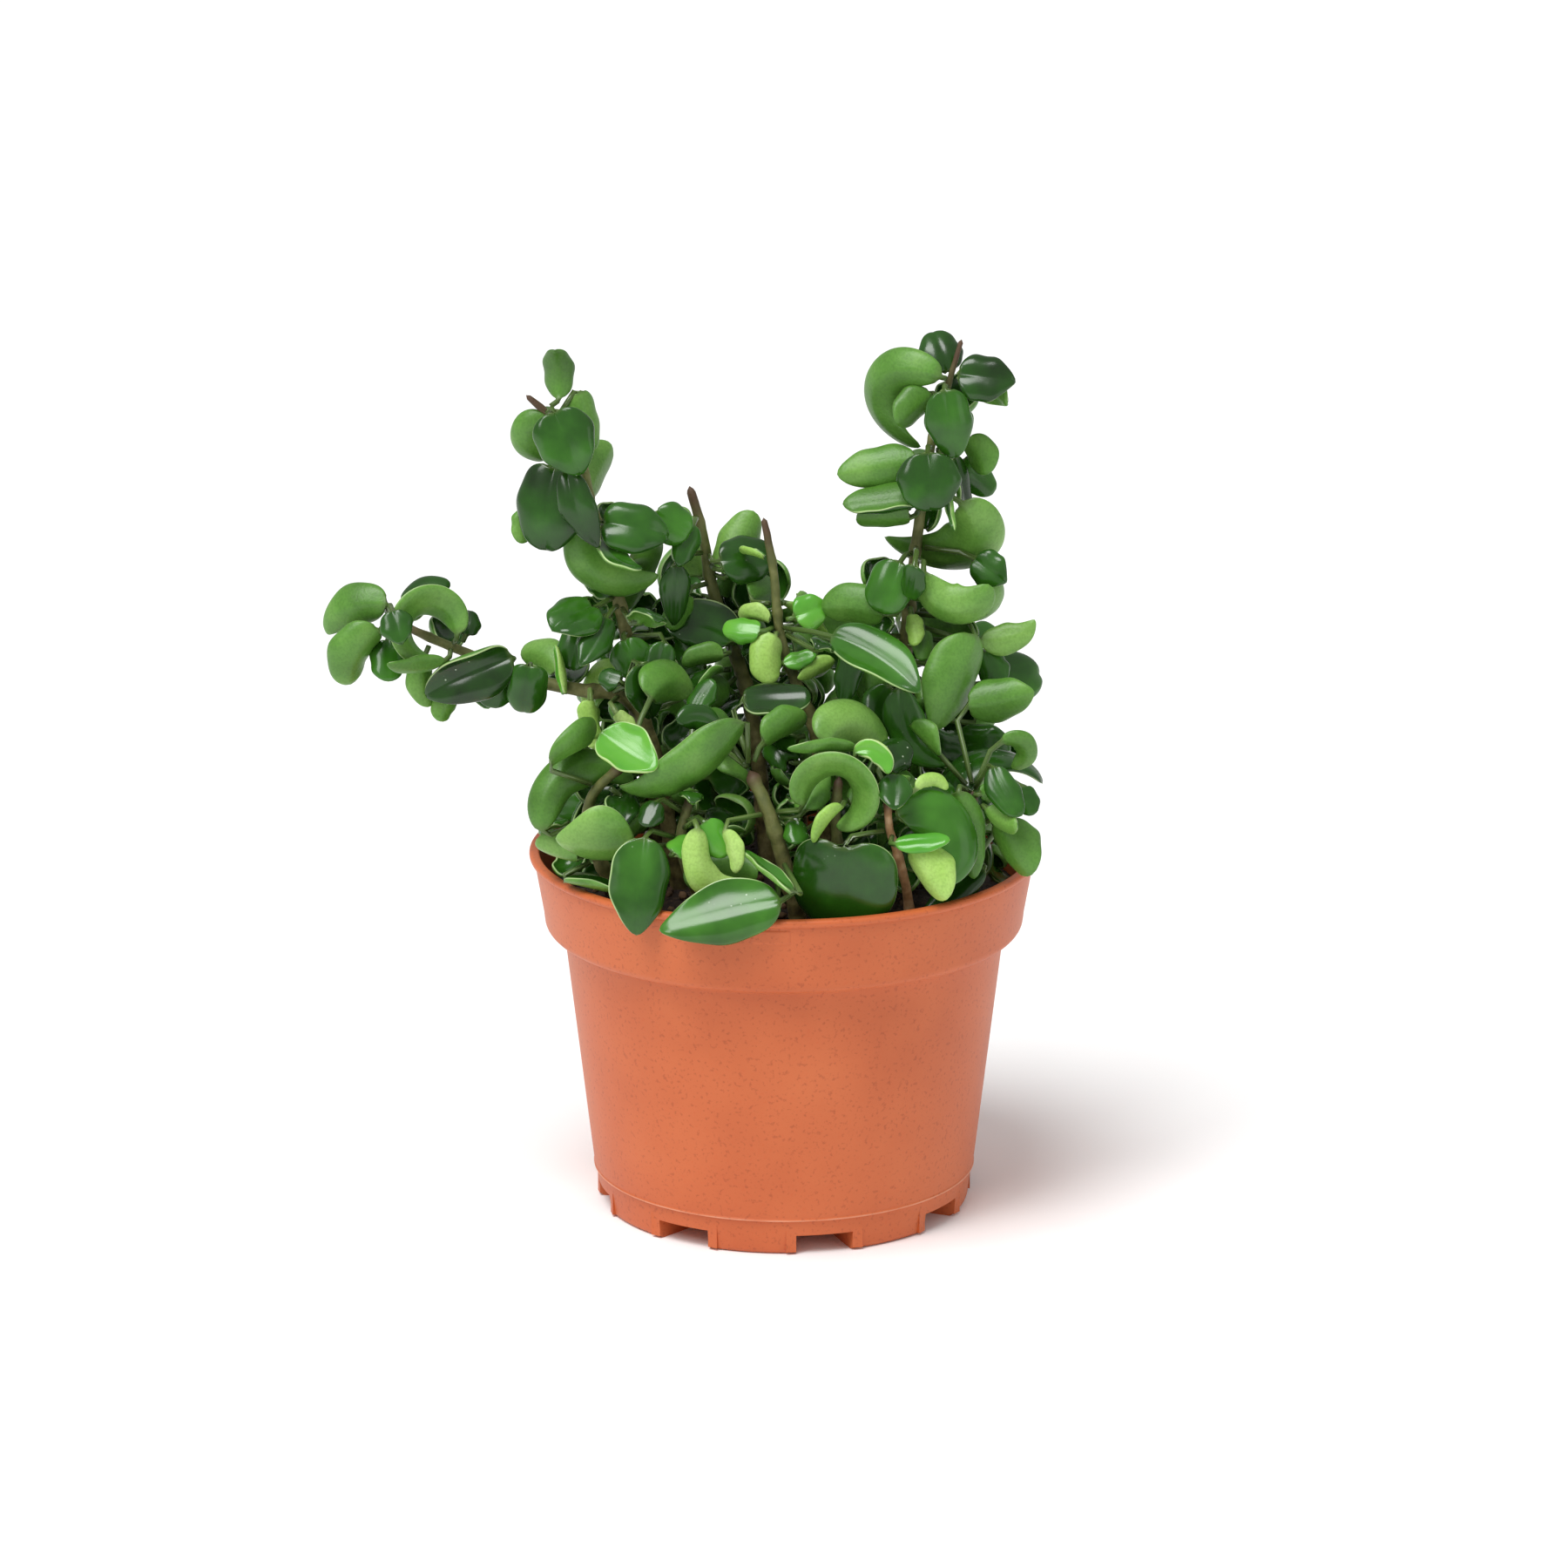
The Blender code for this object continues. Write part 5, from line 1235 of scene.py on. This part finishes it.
crowd = Crowd()
keptStems = ("stem_mid_bare", "stem_mid_young", "stem_front_woody", "stem_front_stub", "stem_left_low")
graph = bpy.context.evaluated_depsgraph_get()
for piece in bpy.data.objects:
    if piece.type != "MESH" or not piece.get("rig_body") or "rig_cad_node" in piece:
        continue
    vertices = np.empty(len(piece.data.vertices) * 3, np.float32)
    piece.data.vertices.foreach_get("co", vertices)
    vertices = vertices.reshape(-1, 3).astype(float)
    keep = piece.name.startswith("leaf_") or any(piece.name.startswith(name) for name in keptStems)
    crowd.add(BVHTree.FromObject(piece, graph), vertices, keep)
firstFill = len(crowd.trees)


def fillRow(random, place, out, size):
    # a curled leaf whose middle is near place and that grows along out, away from its stem
    turn, rise = math.degrees(math.atan2(out[1], out[0])), math.degrees(math.asin(np.clip(out[2], -1, 1)))
    kind = random.integers(4)
    length = size * random.uniform(0.85, 1.1)
    look = 270 if random.random() < 0.5 else 90
    spec = dict(name="fill", grow=(turn, rise), size=(length, length * random.uniform(*filling["width"])),
                face=(look + random.uniform(-50, 50), random.uniform(-10, 50)), point=random.uniform(0, 1))
    if kind == 0:
        spec.update(bend=(-20, -40), fold=22, curl=-55, lobes=3)
    elif kind == 1:
        spec.update(bend=(20, 35, 40), sway=random.uniform(-90, 90), curl=45)
    elif kind == 2:
        spec.update(bend=(20, 60, 80), sway=(random.uniform(-60, 60),) * 2, curl=(60, 40))
    else:
        spec.update(bend=(-15, -30), sway=random.uniform(-40, 40), fold=10, curl=(-40, 50))
    spec["base"] = tuple((place - out * length * 0.4 * mm) / mm)
    return spec


def hiddenShare(points, towards, onlyKept):
    # the share of points with a shape between them and the camera, or behind them
    count = 0
    for point in points:
        way = unit(cameraPlace - point) * (1 if towards else -1)
        met = crowd.nearest(point + way * filling["clear"] * mm, way, filling["far"] * mm)
        count += met is not None and (not onlyKept or crowd.kept[met[0]])
    return count / len(points)


def tryFill(spec, mustHide):
    # adds the leaf if it has room, stays in the pot's outline and leaves the chosen leaves in view
    rings, tip = coarseLeaf(spec, 0, filling["keep"] * mm)
    points = rings.reshape(-1, 3)
    radii = np.hypot(points[:, 0], points[:, 1]) / mm
    low = points[:, 2] < filling["rimLevel"] * mm
    if points[:, 2].min() < filling["floor"] * mm or radii[low].max(initial=0) > filling["radius"]:
        return False
    sample = points[::6]
    inside = all(inOutline(*onPicture(point)) for point in sample)
    tree = treeOf(rings, tip)
    if crowd.touches(tree, points):
        return False
    if hiddenShare(sample, False, True) > filling["cover"]:
        return False
    if (mustHide or not inside) and hiddenShare(sample, True, False) < filling["hidden"]:
        return False
    crowd.add(treeOf(*coarseLeaf(spec, 0)), points, False)
    return True


def awayFromStem(place, random):
    # the way from the nearest stem to the place, with the stem's name
    best = min((np.linalg.norm(path - place, axis=1).min(), name, index)
               for index, (name, (path, radii)) in enumerate(zip(stems, stemLines)))
    path = stemLines[best[2]][0]
    near = path[np.argmin(np.linalg.norm(path - place, axis=1))]
    return unit(unit(place - near) + random.normal(0, 0.35, 3)), best[1]


def gapTarget(random, order, eye, level):
    # the way to a random point of the view's upright plane where a leaf is missing, or None
    target = (np.array([0, 0, 0]) + level * random.uniform(*filling["across"]) * mm
              + np.array([0, 0, random.uniform(*filling["height"])]) * mm)
    if order == 0 and not inOutline(*onPicture(target)):
        return None
    if order and target[2] > filling["backLevel"] * mm:
        return None
    way = unit(target - eye)
    met = crowd.nearest(eye, way, 3.0)
    if met is not None and (crowd.kept[met[0]] or met[0] >= firstFill):
        return None
    if met is not None and np.hypot(*met[1][:2]) > filling["radius"] * mm:
        return None
    return target, way


def stemPlaces():
    # places at even spacing along the tall stems, on four sides of each
    places = []
    for name, (path, radii) in zip(stems, stemLines):
        length = np.concatenate([[0], np.cumsum(np.linalg.norm(np.diff(path, axis=0), axis=1))])
        for along in np.arange(4, length[-1] / mm - 4, filling["pitch"]):
            middle = np.array([np.interp(along * mm, length, path[:, axis]) for axis in range(3)])
            if middle[2] / mm > filling["stemLevel"]:
                places += [(middle, name, side) for side in range(4)]
    return places


def makeFill():
    # leaves where a ray from a view meets none, then along the stems; one piece for each stem
    random = np.random.default_rng(filling["seed"])
    groups, made = {}, [0, 0, 0]

    def sizeOf(attempt):
        # a random length, shrink less of it at each further try
        return random.uniform(*filling["length"]) * (1 - filling["shrink"] * attempt)

    def grow(spec, name, order, mustHide):
        # makes the leaf if it passes the tests, counted with its stem
        if not tryFill(spec, mustHide):
            return False
        groups.setdefault(name, []).append(fineLeaf(spec, 0, 5000 + sum(made), light=True))
        made[order] += 1
        return True

    for order, (turn, rise, rays, most) in enumerate(filling["views"]):
        eye = np.array(studio["aim"]) + compass(turn, rise) * studio["distance"]
        ahead = unit(np.array(studio["aim"]) - eye)
        level = unit(np.cross(ahead, (0, 0, 1)))
        count = 0
        for ray in range(rays):
            found = gapTarget(random, order, eye, level)
            if found is None:
                continue
            for attempt in range(filling["tries"]):
                place = found[0] + found[1] * random.uniform(*filling["depth"]) * mm
                tooFar = np.hypot(*place[:2]) > filling["middleRadius"] * mm
                if place[2] < filling["lowest"] * mm or tooFar:
                    continue
                out, name = awayFromStem(place, random)
                spec = fillRow(random, place, out, sizeOf(attempt))
                if grow(spec, name, min(order, 1), False):
                    count += 1
                    break
            if count >= most:
                break
    places = stemPlaces()
    for index in random.permutation(len(places)):
        middle, name, side = places[index]
        for attempt in range(filling["tries"]):
            angle = side * np.pi / 2 + random.uniform(-0.8, 0.8)
            out = unit(np.array([math.cos(angle), math.sin(angle), random.uniform(-0.6, 0.6)]))
            size = sizeOf(attempt)
            spec = fillRow(random, middle + out * (filling["stemGap"] + size * 0.4) * mm, out, size)
            turn = math.degrees(angle) + random.uniform(-60, 60) + 180 * random.integers(2)
            spec["face"] = (turn, random.uniform(0, 60))
            if grow(spec, name, 2, True):
                break
        if made[2] >= filling["alongStems"]:
            break
    for name, parts in groups.items():
        asPiece(name + "_leaves", parts, False)
    print("fill leaves made:", made, {name: len(parts) for name, parts in groups.items()})


makeFill()
